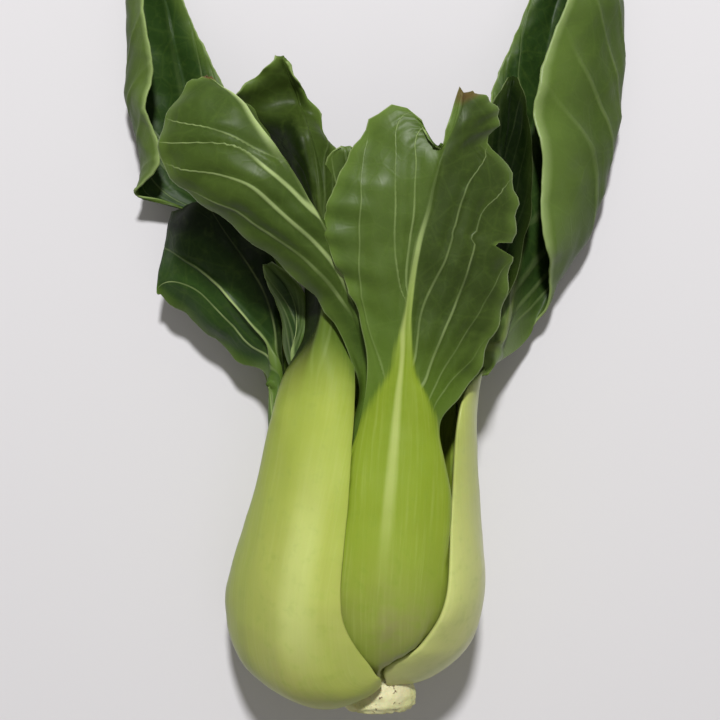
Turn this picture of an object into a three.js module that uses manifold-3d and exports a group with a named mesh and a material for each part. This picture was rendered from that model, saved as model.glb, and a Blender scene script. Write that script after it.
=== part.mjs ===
// A head of baby bok choy lying on its side, with its cut base at -Y and its leaves at +Y.
// Millimetres, +Z up, resting on z = 0. Each leaf is a pale stalk with its midrib and a dark blade.
import * as THREE from "three";
import Module from "manifold-3d";

const wasm = await Module();
wasm.setup();
const { Manifold, Mesh } = wasm;

// Driving sizes.
const NECK = 5; // row at which every stalk turns into a blade
const BLADE_THICK = 0.8;
const STALK_EDGE = 1.3; // thickness at the rim of a stalk
const RIB_THICK = 2.2; // midrib just above the neck
const RIB_TIP_HALF = 0.7; // half width of a midrib where it ends
const RIB_STAND = 0.5; // how far a midrib stands out of its blade
const GAP = 0.35; // clearance between neighbouring pieces
const SLIT = 0.3; // clearance between a midrib and its blade
const STEM = { x: 6.5, z: 26, radius: 8.6, front: 0.6, back: 15 };
const CENTRE = { x: 5, y: 95.2 }; // middle of the head, moved to the origin
const FULLNESS = 0.4; // how far a cross-section holds its direction at the rib and the margin
const FACET = 0.05; // facets flatter than this are merged
const SHOULDER = 0.65; // where along its width a stalk section turns in

// A stalk section: keel point, direction its outer face looks (0 up, 90 to -X), then the
// half width and inward depth of side a and of side b, and how far the rims lead along +Y.
function stalk([x, y, z], face, [wideA, deepA], [wideB, deepB], lead = 0) {
  const turn = (face * Math.PI) / 180;
  const side = new THREE.Vector3(Math.cos(turn), 0, Math.sin(turn));
  const out = new THREE.Vector3(-Math.sin(turn), 0, Math.cos(turn));
  const keel = new THREE.Vector3(x, y, z);
  const at = (w, d, l) =>
    keel.clone().addScaledVector(side, w).addScaledVector(out, -d).add(new THREE.Vector3(0, l, 0));
  return [
    at(-wideA, deepA, lead),
    at(-wideA * SHOULDER, deepA * 0.3, lead * 0.35),
    keel,
    at(wideB * SHOULDER, deepB * 0.3, lead * 0.35),
    at(wideB, deepB, lead),
  ];
}

// A blade section: midrib point, margin of side a, margin of side b, then for each side either
// a lift of its middle in mm or the point that a rolled side passes through.
function blade(rib, marginA, marginB, bowA = 0, bowB = 0) {
  const halfway = (margin, lift) =>
    new THREE.Vector3(...rib).lerp(new THREE.Vector3(...margin), 0.5).add(new THREE.Vector3(0, 0, lift));
  const middle = (margin, bow) => (Array.isArray(bow) ? new THREE.Vector3(...bow) : halfway(margin, bow));
  return [
    new THREE.Vector3(...marginA),
    middle(marginA, bowA),
    new THREE.Vector3(...rib),
    middle(marginB, bowB),
    new THREE.Vector3(...marginB),
  ];
}

// The leaves from the outermost to the innermost. For each: the row where its midrib ends, the
// thickness of its stalk, its number of columns, the wave of its margin and its sections.
const LEAVES = [
  {
    name: "front_left",
    ribEnd: 10,
    thick: 7,
    columns: 10,
    wave: { height: 0.8, turns: 0.9, phase: 0.5 },
    rows: [
      stalk([3, 6, 27], 46, [5, 1], [5, 1]),
      stalk([-7, 2, 34], 36, [15, 3], [14.5, 4], 8),
      stalk([-16, 9, 40.5], 48, [23.6, 6], [16, 14], 4),
      stalk([-18, 27, 43.5], 48, [29, 9], [15, 8]),
      stalk([-14, 52, 43.5], 40, [20, 9], [12.5, 6]),
      stalk([-9, 78, 43], 25, [12, 6], [8.5, 5.5]),
      blade([-6, 98, 42], [-11.5, 92.5, 33], [0, 94.5, 36.5], 1, 1),
      blade([-7, 116.5, 43], [-13.5, 113.5, 32], [1.5, 114, 40], 1.5, 1),
      blade([-8.5, 131.5, 43], [-18, 129, 26], [-2.5, 127, 39], [-13.5, 130.5, 41], 1),
      blade([-10.5, 139, 42.5], [-21.5, 137, 29], [-3.5, 133, 39], [-16.5, 138.5, 40], 1),
      blade([-12.5, 145.5, 37.5], [-27.5, 146, 38.5], [-7.5, 142, 38], 0, 1),
      blade([-14.5, 151, 40], [-22, 151.5, 41], [-11.5, 148.5, 40.5], 0.5, 0.5),
      blade([-16, 155.5, 43], [-17.5, 155, 43], [-15, 154, 43]),
    ],
  },
  {
    name: "right",
    ribEnd: 12,
    thick: 6.5,
    columns: 10,
    wave: { height: 0.5, turns: 0.8, phase: 0.5 },
    rows: [
      stalk([12, 6, 24], -88, [10, 3.5], [6, 1], 2),
      stalk([20, 8.5, 24.5], -88, [14.5, 11.5], [13, 4], 4),
      stalk([28.5, 16, 25], -89, [18, 12], [18, 8], 2.5),
      stalk([32.3, 30, 25], -90, [21, 10.3], [20, 10]),
      stalk([31, 52, 25.5], -90, [16.5, 7.5], [16, 8]),
      stalk([30.5, 78, 26], -93, [11, 4], [11, 4]),
      blade([36, 92.5, 19], [42.5, 89, 9], [28.5, 99.5, 25], 0, 1),
      blade([38.5, 106, 16], [50, 102.5, 14], [30.5, 114, 24], [49.5, 102.5, 7], 1),
      blade([41, 121.5, 13], [47, 114, 25], [32, 129, 23], [60.5, 119, 7], 1),
      blade([44, 138, 11], [46, 133.5, 26], [33, 141.5, 22], [66.5, 138, 8], 1),
      blade([47, 152, 10], [44.5, 147, 26], [34.5, 151, 19], [68.5, 152, 8], 1),
      blade([49.5, 166, 9], [48, 160.5, 25], [39, 162, 15], [69, 167.5, 8], 1),
      blade([53, 181, 8], [54, 177, 21], [46, 178, 11], [67.5, 181, 8], 1),
      blade([55.5, 189, 8], [57, 188.5, 12], [52.5, 188, 9], [60, 189, 9], 0),
    ],
  },
  {
    name: "back_right",
    ribEnd: 9,
    thick: 6.5,
    columns: 8,
    wave: { height: 0.6, turns: 0.8, phase: 0 },
    rows: [
      stalk([9, 6, 19], 200, [6, 1], [6, 1]),
      stalk([11, 5, 10], 197, [12, 4], [14, 4], 3),
      stalk([12, 13, 2.5], 193, [17, 8], [19, 8], 1),
      stalk([12, 29, -0.5], 192, [21, 9], [21, 11]),
      stalk([14, 52, -0.3], 192, [17, 7], [17, 9]),
      stalk([17, 76, 0.8], 190, [12, 5], [12, 5]),
      blade([20, 92, 0.5], [33, 90, 3], [8, 95, 3.5]),
      blade([24, 106, 0.5], [41, 102, 2.5], [9, 110, 3.5], -0.5, -0.5),
      blade([27, 118, 0.5], [43, 114, 3], [13, 124, 4.5], -0.5, -0.5),
      blade([30, 129, 1.5], [39, 129, 3.5], [20, 134, 4.5], -0.3, -0.3),
      blade([32, 135, 3], [34, 135, 3.5], [29, 136, 3.5]),
    ],
  },
  {
    name: "back_left",
    ribEnd: 13,
    thick: 6.5,
    columns: 8,
    wave: { height: 0.5, turns: 0.8, phase: 0.5 },
    rows: [
      stalk([3, 5, 21], 125, [6, 1], [6, 1]),
      stalk([-8, 2.5, 15], 125, [13, 4], [13, 4], 4),
      stalk([-16, 10, 9.5], 126, [16, 8], [18, 8], 1),
      stalk([-19.5, 28, 7], 128, [15.5, 8], [20, 9]),
      stalk([-17, 52, 7], 132, [15, 8], [15, 7]),
      stalk([-15, 78, 7.5], 150, [12, 5], [9, 4]),
      blade([-23, 100, 7], [-13, 102.5, 9], [-31.5, 95.5, 6]),
      blade([-31.5, 116.5, 7], [-19.5, 119, 11], [-41, 122, 7], 1, 1),
      blade([-35.5, 126.5, 7], [-22.5, 129, 11.5], [-55, 127, 11], 1, [-48.5, 126, 6.5]),
      blade([-38.5, 135, 7], [-26.5, 139.5, 12], [-47.5, 133, 19], 1, [-53.5, 139, 6]),
      blade([-41.5, 148.5, 7], [-31, 151.5, 11], [-50.5, 146, 20], 1, [-56.3, 149.5, 7]),
      blade([-44, 161, 7], [-37, 163, 10], [-49.5, 158.5, 20], 0.5, [-57.2, 163.5, 7]),
      blade([-46.5, 174, 7], [-42, 174, 9], [-52, 172.5, 19], 0.5, [-57, 176.5, 7]),
      blade([-50, 184, 7], [-46.5, 184.5, 8], [-53.5, 182.5, 14], 0.5, [-56.5, 184.5, 7]),
      blade([-52, 189.5, 7], [-50.5, 189.5, 8], [-53, 189.5, 8]),
    ],
  },
  {
    name: "front_middle",
    ribEnd: 13,
    thick: 6.5,
    columns: 10,
    wave: { height: 0.5, turns: 1.3, phase: 1 },
    rows: [
      stalk([9.5, 6, 26], -3, [5, 1], [5, 1]),
      stalk([9.3, 9, 35.5], -3, [11, 4], [10, 4], 2),
      stalk([9.5, 16.5, 44.5], -3, [17, 7.5], [13.5, 8], 1),
      stalk([9.8, 30, 49], -3, [18, 7], [14, 7.5]),
      stalk([11.6, 52, 49], -2, [16.5, 6], [12, 5]),
      stalk([12.5, 74, 47.5], 0, [11, 3.5], [8, 3.5], -5),
      blade([12.5, 85, 47], [3.5, 84, 46.5], [25.5, 76.5, 43], 1, 1),
      blade([13, 94, 48.5], [1, 97.5, 49.5], [30, 83, 42], 1, 1.5),
      blade([14, 103, 50.5], [-4, 107, 52.5], [34.5, 95, 43], 1.5, 2),
      blade([15.5, 112, 53], [-6.5, 116, 53.5], [37, 105.5, 46], 2, 2.5),
      blade([17.5, 119, 55], [-4, 124, 54.5], [37.5, 114.5, 47], 2, 2.5),
      blade([18.5, 124, 56.5], [0, 132, 53], [38, 122.5, 48], 2, 2),
      blade([19.5, 128, 57.5], [5.5, 140.5, 54], [35, 131, 50], 1.5, 2),
      blade([20, 129.8, 58], [12.5, 142, 55], [30.5, 134, 53], 0.5, 1.5),
      blade([21, 132.7, 58.4], [19.3, 132.2, 58], [33.3, 138.5, 54], 0, 1.5),
      blade([23.5, 138, 59], [21.3, 137, 58.6], [32, 143, 55.5], 0, 1.5),
      blade([25, 144.3, 60], [24, 145.8, 60], [27.5, 145.3, 58]),
    ],
  },
  {
    name: "left",
    ribEnd: 10,
    thick: 4.5,
    columns: 8,
    wave: { height: 0.4, turns: 0.8, phase: 0.5 },
    rows: [
      stalk([1, 6, 23], 95, [5, 1], [5, 1]),
      stalk([-9, 4.5, 23], 92, [11, 3], [11, 3], 4),
      stalk([-18.5, 11, 23.5], 90, [15, 5], [13, 5], 1),
      stalk([-23.5, 27, 24], 88, [16, 5.5], [14, 5.5]),
      stalk([-20.7, 52, 24], 90, [12, 5], [10, 4]),
      stalk([-19.6, 74, 22.5], 112, [5, 2], [4.5, 2]),
      blade([-19, 87, 21], [-17, 88.5, 21.5], [-20.8, 81.5, 19]),
      blade([-23, 93.5, 22], [-17, 103, 25], [-27, 84.5, 13], 1, 0.8),
      blade([-29.5, 100.5, 23], [-21.5, 115, 28], [-34.5, 90.5, 12], 1.5, 1.5),
      blade([-36, 106.5, 22], [-30.5, 122.5, 27], [-41.5, 97, 12], 1.5, 1.5),
      blade([-42.5, 111, 19], [-39.5, 123, 22], [-47, 100.5, 12], 1.5, 1),
      blade([-46.5, 113, 15], [-44, 121.5, 17], [-48.5, 102.5, 12]),
    ],
  },
  {
    name: "lower_right",
    ribEnd: 9,
    thick: 4.5,
    columns: 6,
    wave: { height: 0.6, turns: 0.8, phase: 0.5 },
    rows: [
      stalk([11, 7, 21], -125, [5, 1], [5, 1]),
      stalk([17, 9, 15], -128, [10, 3], [10, 3], 2),
      stalk([22, 17, 10.5], -130, [13, 5], [13, 5], 1),
      stalk([24, 30, 9.5], -130, [14, 5.5], [14, 5.5]),
      stalk([23, 52, 11], -132, [12, 5], [12, 5]),
      stalk([21, 76, 14], -150, [9, 3.5], [9, 3.5]),
      blade([21, 90, 15.5], [30, 88, 13], [12, 91, 17]),
      blade([20, 102, 15], [33, 101, 12], [7, 103, 17], 1, 1),
      blade([18, 113, 15], [33, 112, 12], [4, 114, 17], 1, 1),
      blade([16, 122, 15.5], [28, 122, 13.5], [4, 123, 18], 1, 1),
      blade([15, 128, 16.5], [21, 128.5, 16], [9, 128, 18], 0.5, 0.5),
      blade([14.5, 131, 17], [16, 131, 17], [12.5, 131, 17.5]),
    ],
  },
  {
    name: "inner_left",
    ribEnd: 11,
    thick: 4.5,
    columns: 8,
    wave: { height: 0.4, turns: 1.1, phase: 0 },
    rows: [
      stalk([7, 6, 27], 10, [4, 1], [4, 1]),
      stalk([4, 11, 34], 8, [7, 2], [7, 2], 1),
      stalk([2, 18, 38.5], 6, [10, 2.5], [10, 2.5]),
      stalk([1, 30, 40], 4, [11, 3], [11, 3]),
      stalk([2, 52, 39.5], 2, [9, 3], [9, 3]),
      blade([4, 77, 39], [1.5, 75, 37], [6.5, 76.5, 34], 1, 1),
      blade([3.5, 87.5, 42], [-1.5, 88.5, 42.5], [8, 89.5, 38.5], 0.5, 1),
      blade([0, 99, 47], [-8, 98.5, 45.5], [6, 101.5, 43], 1.5, 1),
      blade([-3.5, 110, 52], [-18.5, 108.5, 48.5], [4, 112.5, 47], 3, 1.5),
      blade([-9.8, 121, 56.5], [-30.5, 117.5, 51], [-8.5, 118.7, 48.5], 4, 0.5),
      blade([-15.6, 130.4, 58.5], [-39.5, 124.5, 52], [-13.5, 127.6, 50.5], 4, 0.5),
      blade([-20.7, 137.7, 59], [-44, 132.5, 52], [-18.5, 135.3, 51], 4, 0.5),
      blade([-25.3, 144, 57], [-41.5, 141, 52], [-22.5, 142, 51], 3, 0.5),
      blade([-29.5, 147.2, 55], [-36.5, 148, 53], [-28.3, 146.3, 53], 1, 0),
      blade([-32, 149, 54], [-32.5, 149, 54], [-31.5, 149, 54]),
    ],
  },
  {
    name: "inner_right",
    ribEnd: 10,
    thick: 4,
    columns: 6,
    wave: { height: 0.4, turns: 0.8, phase: 0.5 },
    rows: [
      stalk([10, 7, 25], -50, [4, 1], [4, 1]),
      stalk([15, 11, 31], -50, [8, 2], [8, 2], 1),
      stalk([18, 18, 33.5], -50, [11, 3], [11, 3]),
      stalk([19.5, 30, 34], -48, [12, 4], [12, 4]),
      stalk([19, 52, 34], -50, [9, 4], [9, 4]),
      stalk([20.5, 76, 33], -65, [7, 3], [7, 3]),
      blade([30, 99.5, 31], [36, 98.5, 27], [26, 101.5, 34], 0.5, 0.5),
      blade([33, 116, 30], [42, 115.5, 24], [26.5, 117, 32], 0.5, 0.5),
      blade([35.5, 133, 30], [44, 132.5, 22.5], [29.5, 133, 32], 0.5, 1),
      blade([37, 145, 29], [42.5, 145, 23.5], [33, 144.5, 30], 0.5, 1),
      blade([38.2, 151, 28.5], [41.5, 150, 26.5], [35.8, 150, 28.5]),
      blade([38.8, 153.5, 28], [40, 153, 27.5], [37.5, 153, 28]),
    ],
  },
  {
    name: "heart_back",
    ribEnd: 9,
    thick: 3.5,
    columns: 6,
    wave: { height: 0.4, turns: 0.8, phase: 0.5 },
    rows: [
      stalk([6, 7, 22], 150, [4, 1], [4, 1]),
      stalk([2, 11, 17], 150, [8, 2], [8, 2], 1),
      stalk([0, 18, 14], 150, [10, 3], [10, 3]),
      stalk([-1, 30, 13.5], 150, [11, 4], [11, 4]),
      stalk([0, 52, 16], 155, [9, 3], [9, 3]),
      stalk([2, 76, 20], 165, [6, 2.5], [6, 2.5]),
      blade([1, 88, 22], [7, 88, 21.5], [-5, 88, 23.5]),
      blade([0, 98, 23.5], [8, 98, 23], [-8.5, 98, 26], 0.5, 0.5),
      blade([-0.5, 107, 24.5], [7.5, 107, 24.5], [-9, 107, 27], 0.5, 0.5),
      blade([-1, 114, 25.5], [4, 114, 26], [-6.5, 114, 27.5]),
      blade([-1, 118, 26.5], [0.5, 118, 26.5], [-2.5, 118, 26.5]),
    ],
  },
  {
    name: "inner_small",
    ribEnd: 9,
    thick: 3,
    columns: 6,
    wave: { height: 0, turns: 1, phase: 0 },
    rows: [
      stalk([5, 7, 25], 75, [4, 1], [4, 1]),
      stalk([0, 11, 28], 78, [6, 2], [6, 2], 1),
      stalk([-5, 18, 29.5], 79, [8, 2.5], [8, 2.5]),
      stalk([-8, 30, 30], 80, [8.5, 3], [8.5, 3]),
      stalk([-10, 52, 31], 82, [6.5, 2.5], [6.5, 2.5]),
      stalk([-11.5, 72, 32], 85, [4.5, 2], [4.5, 2]),
      blade([-13, 84.5, 32], [-11, 87, 33], [-15.5, 86.5, 29], 0.3, 0.3),
      blade([-12.5, 91, 32.5], [-10.5, 94, 33], [-16, 93.5, 29], 0.5, 1),
      blade([-13, 97, 32.5], [-11, 100, 33], [-18, 99.5, 30], 0.5, 1),
      blade([-15, 102, 32], [-14, 104.5, 32], [-20, 103.5, 30], 0.3, 0.6),
      blade([-20, 108, 31], [-19, 108.5, 31], [-21, 108, 30.5]),
    ],
  },
  {
    name: "heart_front",
    ribEnd: 9,
    thick: 3,
    columns: 6,
    wave: { height: 0.4, turns: 0.8, phase: 0.5 },
    rows: [
      stalk([8, 8, 25], -10, [3, 1], [3, 1]),
      stalk([8, 12, 27], -10, [5, 1], [5, 1]),
      stalk([8, 20, 28.5], -8, [6.5, 2], [6.5, 2]),
      stalk([8, 32, 29.5], -5, [6.5, 2], [6.5, 2]),
      stalk([8, 52, 31], 0, [5, 2], [5, 2]),
      stalk([7.5, 74, 34], 0, [4, 1.5], [4, 1.5]),
      blade([6, 92, 36], [-2, 92, 35], [13, 92, 35]),
      blade([4, 108, 38.5], [-6, 107, 37], [13, 108, 37.5], 1, 1),
      blade([1, 122, 41], [-7.5, 122, 39], [9, 122, 40], 1, 1),
      blade([-1, 131, 43], [-5.5, 132, 42], [4, 131, 42]),
      blade([-1.5, 134.5, 43.5], [-2.5, 134.5, 43.5], [0, 134.5, 43.5]),
    ],
  },
];

const smooth = (x, low, high) => THREE.MathUtils.smoothstep(x, low, high);

// The five guide points of a leaf at position u along its rows.
function guides(leaf, u) {
  const last = leaf.rows.length - 1;
  const i = THREE.MathUtils.clamp(Math.floor(u), 0, last - 1);
  const f = u - i;
  return [0, 1, 2, 3, 4].map((c) => {
    const b = leaf.rows[i][c];
    const d = leaf.rows[i + 1][c];
    const a = i > 0 ? leaf.rows[i - 1][c] : b.clone().multiplyScalar(2).sub(d);
    const e = i < last - 1 ? leaf.rows[i + 2][c] : d.clone().multiplyScalar(2).sub(b);
    return new THREE.Vector3()
      .addScaledVector(a, 0.5 * (-f + 2 * f * f - f * f * f))
      .addScaledVector(b, 0.5 * (2 - 5 * f * f + 3 * f * f * f))
      .addScaledVector(d, 0.5 * (f + 4 * f * f - 3 * f * f * f))
      .addScaledVector(e, 0.5 * (-f * f + f * f * f));
  });
}

// Point of a leaf's outer face at u along it and t across it, from -1 to 1, before its wave.
function plain(leaf, u, t) {
  const g = guides(leaf, u);
  const [rib, mid, rim] = t < 0 ? [g[2], g[1], g[0]] : [g[2], g[3], g[4]];
  const pull = rib.clone().sub(rim).multiplyScalar(FULLNESS);
  const first = mid.clone().multiplyScalar(4 / 3).addScaledVector(rib, -1 / 3).add(pull);
  const second = mid.clone().multiplyScalar(4 / 3).addScaledVector(rim, -1 / 3).sub(pull);
  return new THREE.CubicBezierCurve3(rib, first, second, rim).getPoint(Math.abs(t));
}

// Outward direction of a leaf's outer face.
function outward(leaf, u, t) {
  const step = 0.02;
  const last = leaf.rows.length - 1;
  const lowU = Math.max(u - step, 0);
  const highU = Math.min(u + step, last);
  const lowT = Math.max(t - step, -1);
  const highT = Math.min(t + step, 1);
  const along = plain(leaf, highU, t).sub(plain(leaf, lowU, t));
  const across = plain(leaf, u, highT).sub(plain(leaf, u, lowT));
  return across.cross(along).normalize();
}

// How far the waved margin stands off the plain leaf.
function waveAt(leaf, u, t) {
  const { height, turns, phase } = leaf.wave;
  const grown = smooth(u, NECK + 1, NECK + 2.2);
  const swing = Math.sin(2 * Math.PI * turns * u + phase * Math.sign(t));
  return height * grown * Math.abs(t) ** 2.5 * swing;
}

// Width of one half of a leaf, from its midrib to its margin.
function halfWidth(leaf, u, side) {
  const g = guides(leaf, u);
  return g[2].distanceTo(side < 0 ? g[0] : g[4]);
}

// Half width of the pale stalk and midrib, as a share of the leaf's own half width.
function paleShare(leaf, u, side) {
  if (u <= NECK) return 1;
  const atNeck = halfWidth(leaf, NECK, side);
  const rise = (u - NECK) / (leaf.ribEnd - NECK);
  const half = THREE.MathUtils.lerp(atNeck * 0.42, RIB_TIP_HALF, Math.sqrt(Math.min(rise, 1)));
  const shoulder = 1 - smooth(u, NECK, NECK + 0.7);
  return Math.min(1, (half + (atNeck - half) * shoulder) / halfWidth(leaf, u, side));
}

// Thickness of a stalk and its midrib.
function paleThickness(leaf, u, t) {
  const foot = THREE.MathUtils.lerp(0.45, 1, smooth(u, 0, 2.5));
  const neck = THREE.MathUtils.lerp(1, 0.62, smooth(u, 3, NECK));
  const middle = THREE.MathUtils.lerp(leaf.thick * foot * neck, RIB_THICK, smooth(u, NECK, NECK + 1.5));
  const rib = THREE.MathUtils.lerp(1, 0.5, smooth(u, NECK + 1, leaf.ribEnd));
  return STALK_EDGE + (middle * rib - STALK_EDGE) * (1 - t * t) ** 1.3;
}

// Closes a sheet of four-cornered cells, given their outer and inner points, into one solid.
function thicken(outer, inner, cells) {
  const points = [];
  const seen = new Map();
  const idOf = (p) => {
    const key = [p.x, p.y, p.z].map((v) => Math.round(v * 500)).join();
    if (!seen.has(key)) {
      seen.set(key, seen.size);
      points.push(p.x, p.y, p.z);
    }
    return seen.get(key);
  };
  const top = outer.map(idOf);
  const low = inner.map(idOf);
  const faces = [];
  const rims = new Map();
  const cover = (a, b, c) => {
    if (top[a] === top[b] || top[b] === top[c] || top[c] === top[a]) return;
    faces.push(top[a], top[b], top[c], low[a], low[c], low[b]);
    for (const [p, q] of [[a, b], [b, c], [c, a]]) {
      const back = top[q] + " " + top[p];
      if (rims.has(back)) rims.delete(back);
      else rims.set(top[p] + " " + top[q], [p, q]);
    }
  };
  for (const [a, b, c, d] of cells) {
    cover(a, b, c);
    cover(a, c, d);
  }
  for (const [p, q] of rims.values()) {
    faces.push(top[q], top[p], low[p], top[q], low[p], low[q]);
  }
  const mesh = new Mesh({
    numProp: 3,
    vertProperties: new Float32Array(points),
    triVerts: new Uint32Array(faces),
  });
  return new Manifold(mesh);
}

// A sheet over lines of (u, t) stations, swollen on every side by a clearance.
function sheet(leaf, lines, thickness, stand, cellsOf, clearance) {
  const outer = [];
  const inner = [];
  for (const line of lines) {
    for (const [u, t] of line) {
      const out = outward(leaf, u, t);
      const face = plain(leaf, u, t).addScaledVector(out, waveAt(leaf, u, t));
      if (clearance && Math.abs(t) > 0.999) {
        const sideways = plain(leaf, u, t).sub(plain(leaf, u, t * 0.95)).normalize();
        face.addScaledVector(sideways, clearance * 1.3);
      }
      if (clearance && (line === lines[0] || line === lines.at(-1))) {
        const way = line === lines[0] ? -0.05 : 0.05;
        const lengthways = plain(leaf, u, t).sub(plain(leaf, u - way, t)).normalize();
        face.addScaledVector(lengthways, clearance * 1.3);
      }
      outer.push(face.clone().addScaledVector(out, stand(u, t) + clearance));
      inner.push(face.clone().addScaledVector(out, -thickness(u, t) - clearance));
    }
  }
  return thicken(outer, inner, cellsOf(lines));
}

// Cells of lines that all have the same number of stations, leaving out those named by skip.
function gridCells(lines, skip = () => false) {
  const n = lines[0].length;
  const cells = [];
  for (let i = 0; i < lines.length - 1; i += 1) {
    for (let j = 0; j < n - 1; j += 1) {
      if (skip(i, j)) continue;
      cells.push([i * n + j, i * n + j + 1, (i + 1) * n + j + 1, (i + 1) * n + j]);
    }
  }
  return cells;
}

const spread = (low, high, count) =>
  Array.from({ length: count + 1 }, (_, i) => low + ((high - low) * i) / count);

// Where the blade starts beside the neck.
function bladeStart(leaf) {
  const beside = (u) => Math.min(paleShare(leaf, u, -1), paleShare(leaf, u, 1));
  let u = NECK;
  while (beside(u) > 0.86) u += 0.05;
  return u;
}

// Stations along the midrib, shared by a stalk and its blade.
function ribStations(leaf) {
  const start = bladeStart(leaf);
  return spread(start, leaf.ribEnd, Math.ceil((leaf.ribEnd - start) * 1.25));
}

// The stalk and midrib of a leaf.
function paleBody(leaf, clearance = 0) {
  const ribs = ribStations(leaf);
  const tip = ribs.at(-1);
  const stations = [...spread(0, NECK, 8), ...ribs.slice(0, -1), tip + (ribs.at(-2) - tip) * 0.4];
  const turn = Math.PI / 2.4;
  const across = spread(-1, 1, leaf.columns).map((s) => Math.sin(s * turn) / Math.sin(turn));
  const share = (u, s) => (u > ribs.at(-2) ? 0.3 : 1) * paleShare(leaf, u, s);
  const lines = stations.map((u) => across.map((s) => [u, s * share(u, s)]));
  const stand = (u, t) => {
    const s = Math.min(1, Math.abs(t) / Math.max(paleShare(leaf, u, t), 0.01));
    return RIB_STAND * smooth(u, NECK - 1, NECK + 1) * (1 - s * s);
  };
  const thickness = (u, t) => {
    const s = Math.min(1, Math.abs(t) / Math.max(paleShare(leaf, u, t), 0.01));
    return paleThickness(leaf, u, s);
  };
  return sheet(leaf, lines, thickness, stand, gridCells, clearance);
}

// The blade of a leaf, slit up to the end of its midrib.
function darkBody(leaf, clearance = 0) {
  const last = leaf.rows.length - 1;
  const half = leaf.columns / 2;
  const above = spread(leaf.ribEnd, last, Math.ceil((last - leaf.ribEnd) * 1.5)).slice(1);
  const stations = [...ribStations(leaf), ...above];
  const shares = spread(0, 1, half).map((s) => s ** 0.9);
  const inset = (u, side) => {
    if (u >= leaf.ribEnd - 1e-9) return 0;
    return Math.min(0.97, paleShare(leaf, u, side) + SLIT / halfWidth(leaf, u, side));
  };
  const lines = stations.map((u) => {
    const a = inset(u, -1);
    const b = inset(u, 1);
    return [
      ...shares.toReversed().map((s) => [u, -(a + (1 - a) * s)]),
      ...shares.map((s) => [u, b + (1 - b) * s]),
    ];
  });
  const cells = (all) => gridCells(all, (i, j) => j === half);
  return sheet(leaf, lines, () => BLADE_THICK, () => 0, cells, clearance);
}

// Closed solid of an indexed geometry, with the corners that fall together made one.
function solidOf(geometry) {
  const at = geometry.getAttribute("position");
  const points = [];
  const seen = new Map();
  const ids = Array.from({ length: at.count }, (_, i) => {
    const corner = [at.getX(i), at.getY(i), at.getZ(i)];
    const key = corner.map((v) => Math.round(v * 500)).join();
    if (!seen.has(key)) {
      seen.set(key, seen.size);
      points.push(...corner);
    }
    return seen.get(key);
  });
  const faces = [];
  const index = geometry.index.array;
  for (let i = 0; i < index.length; i += 3) {
    const [a, b, c] = [ids[index[i]], ids[index[i + 1]], ids[index[i + 2]]];
    if (a !== b && b !== c && c !== a) faces.push(a, b, c);
  }
  const mesh = new Mesh({
    numProp: 3,
    vertProperties: new Float32Array(points),
    triVerts: new Uint32Array(faces),
  });
  return new Manifold(mesh);
}

// The cut stem that carries the leaves, as a turned body along +Y.
function stemBody(extra = 0) {
  const { x, z, radius, front, back } = STEM;
  const profile = [
    [0, front - extra],
    [radius * 0.84 + extra, front - extra],
    [radius * 0.98 + extra, front + 1.2],
    [radius + extra, front + 4],
    [radius * 0.86 + extra, front + 8],
    [radius * 0.5 + extra, back - 2],
    [0, back + extra],
  ];
  const turned = new THREE.LatheGeometry(profile.map(([r, y]) => new THREE.Vector2(r, y)), 28);
  return solidOf(turned.scale(1.04, 1, 0.94).translate(x, 0, z));
}

// Everything under the surface that the head rests on.
function belowTable() {
  return solidOf(new THREE.BoxGeometry(400, 400, 40).translate(0, 0, -20));
}

// The largest body left of a solid.
function largest(solid) {
  const bodies = solid.decompose();
  return bodies.reduce((best, b) => (b.volume() > best.volume() ? b : best));
}

const STALK = new THREE.MeshStandardMaterial({ color: 0xa9b85a, roughness: 0.35, metalness: 0 });
const BLADE = new THREE.MeshStandardMaterial({ color: 0x4a6b2e, roughness: 0.45, metalness: 0 });
const BASE = new THREE.MeshStandardMaterial({ color: 0xcdc8a0, roughness: 0.6, metalness: 0 });

const head = new THREE.Group();
head.name = "bok_choy";

function add(name, solid, material) {
  const mesh = largest(solid.simplify(FACET)).getMesh();
  const geometry = new THREE.BufferGeometry();
  const corners = new Float32Array(mesh.triVerts.length * 3);
  mesh.triVerts.forEach((v, i) => {
    for (let c = 0; c < 3; c += 1) corners[3 * i + c] = mesh.vertProperties[v * mesh.numProp + c];
  });
  geometry.setAttribute("position", new THREE.BufferAttribute(corners, 3));
  geometry.computeVertexNormals();
  const piece = new THREE.Mesh(geometry, material);
  piece.name = name;
  head.add(piece);
}

const table = belowTable();
let taken = stemBody(GAP).add(table);
add("stem", stemBody(), BASE);
for (const leaf of LEAVES) {
  add(leaf.name + "_stalk", paleBody(leaf).subtract(taken), STALK);
  const room = taken.add(paleBody(leaf, SLIT / 2));
  add(leaf.name + "_blade", darkBody(leaf).subtract(room), BLADE);
  taken = taken.add(paleBody(leaf, GAP)).add(darkBody(leaf, GAP));
}
head.position.set(-CENTRE.x, -CENTRE.y, 0);

export default head;
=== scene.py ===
"""A head of baby bok choy lying on its side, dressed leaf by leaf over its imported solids."""

import math
from types import SimpleNamespace

import bmesh
import bpy
import numpy as np
from bpy.props import FloatProperty, FloatVectorProperty, PointerProperty
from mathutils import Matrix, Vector, noise
from mathutils.bvhtree import BVHTree


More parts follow.
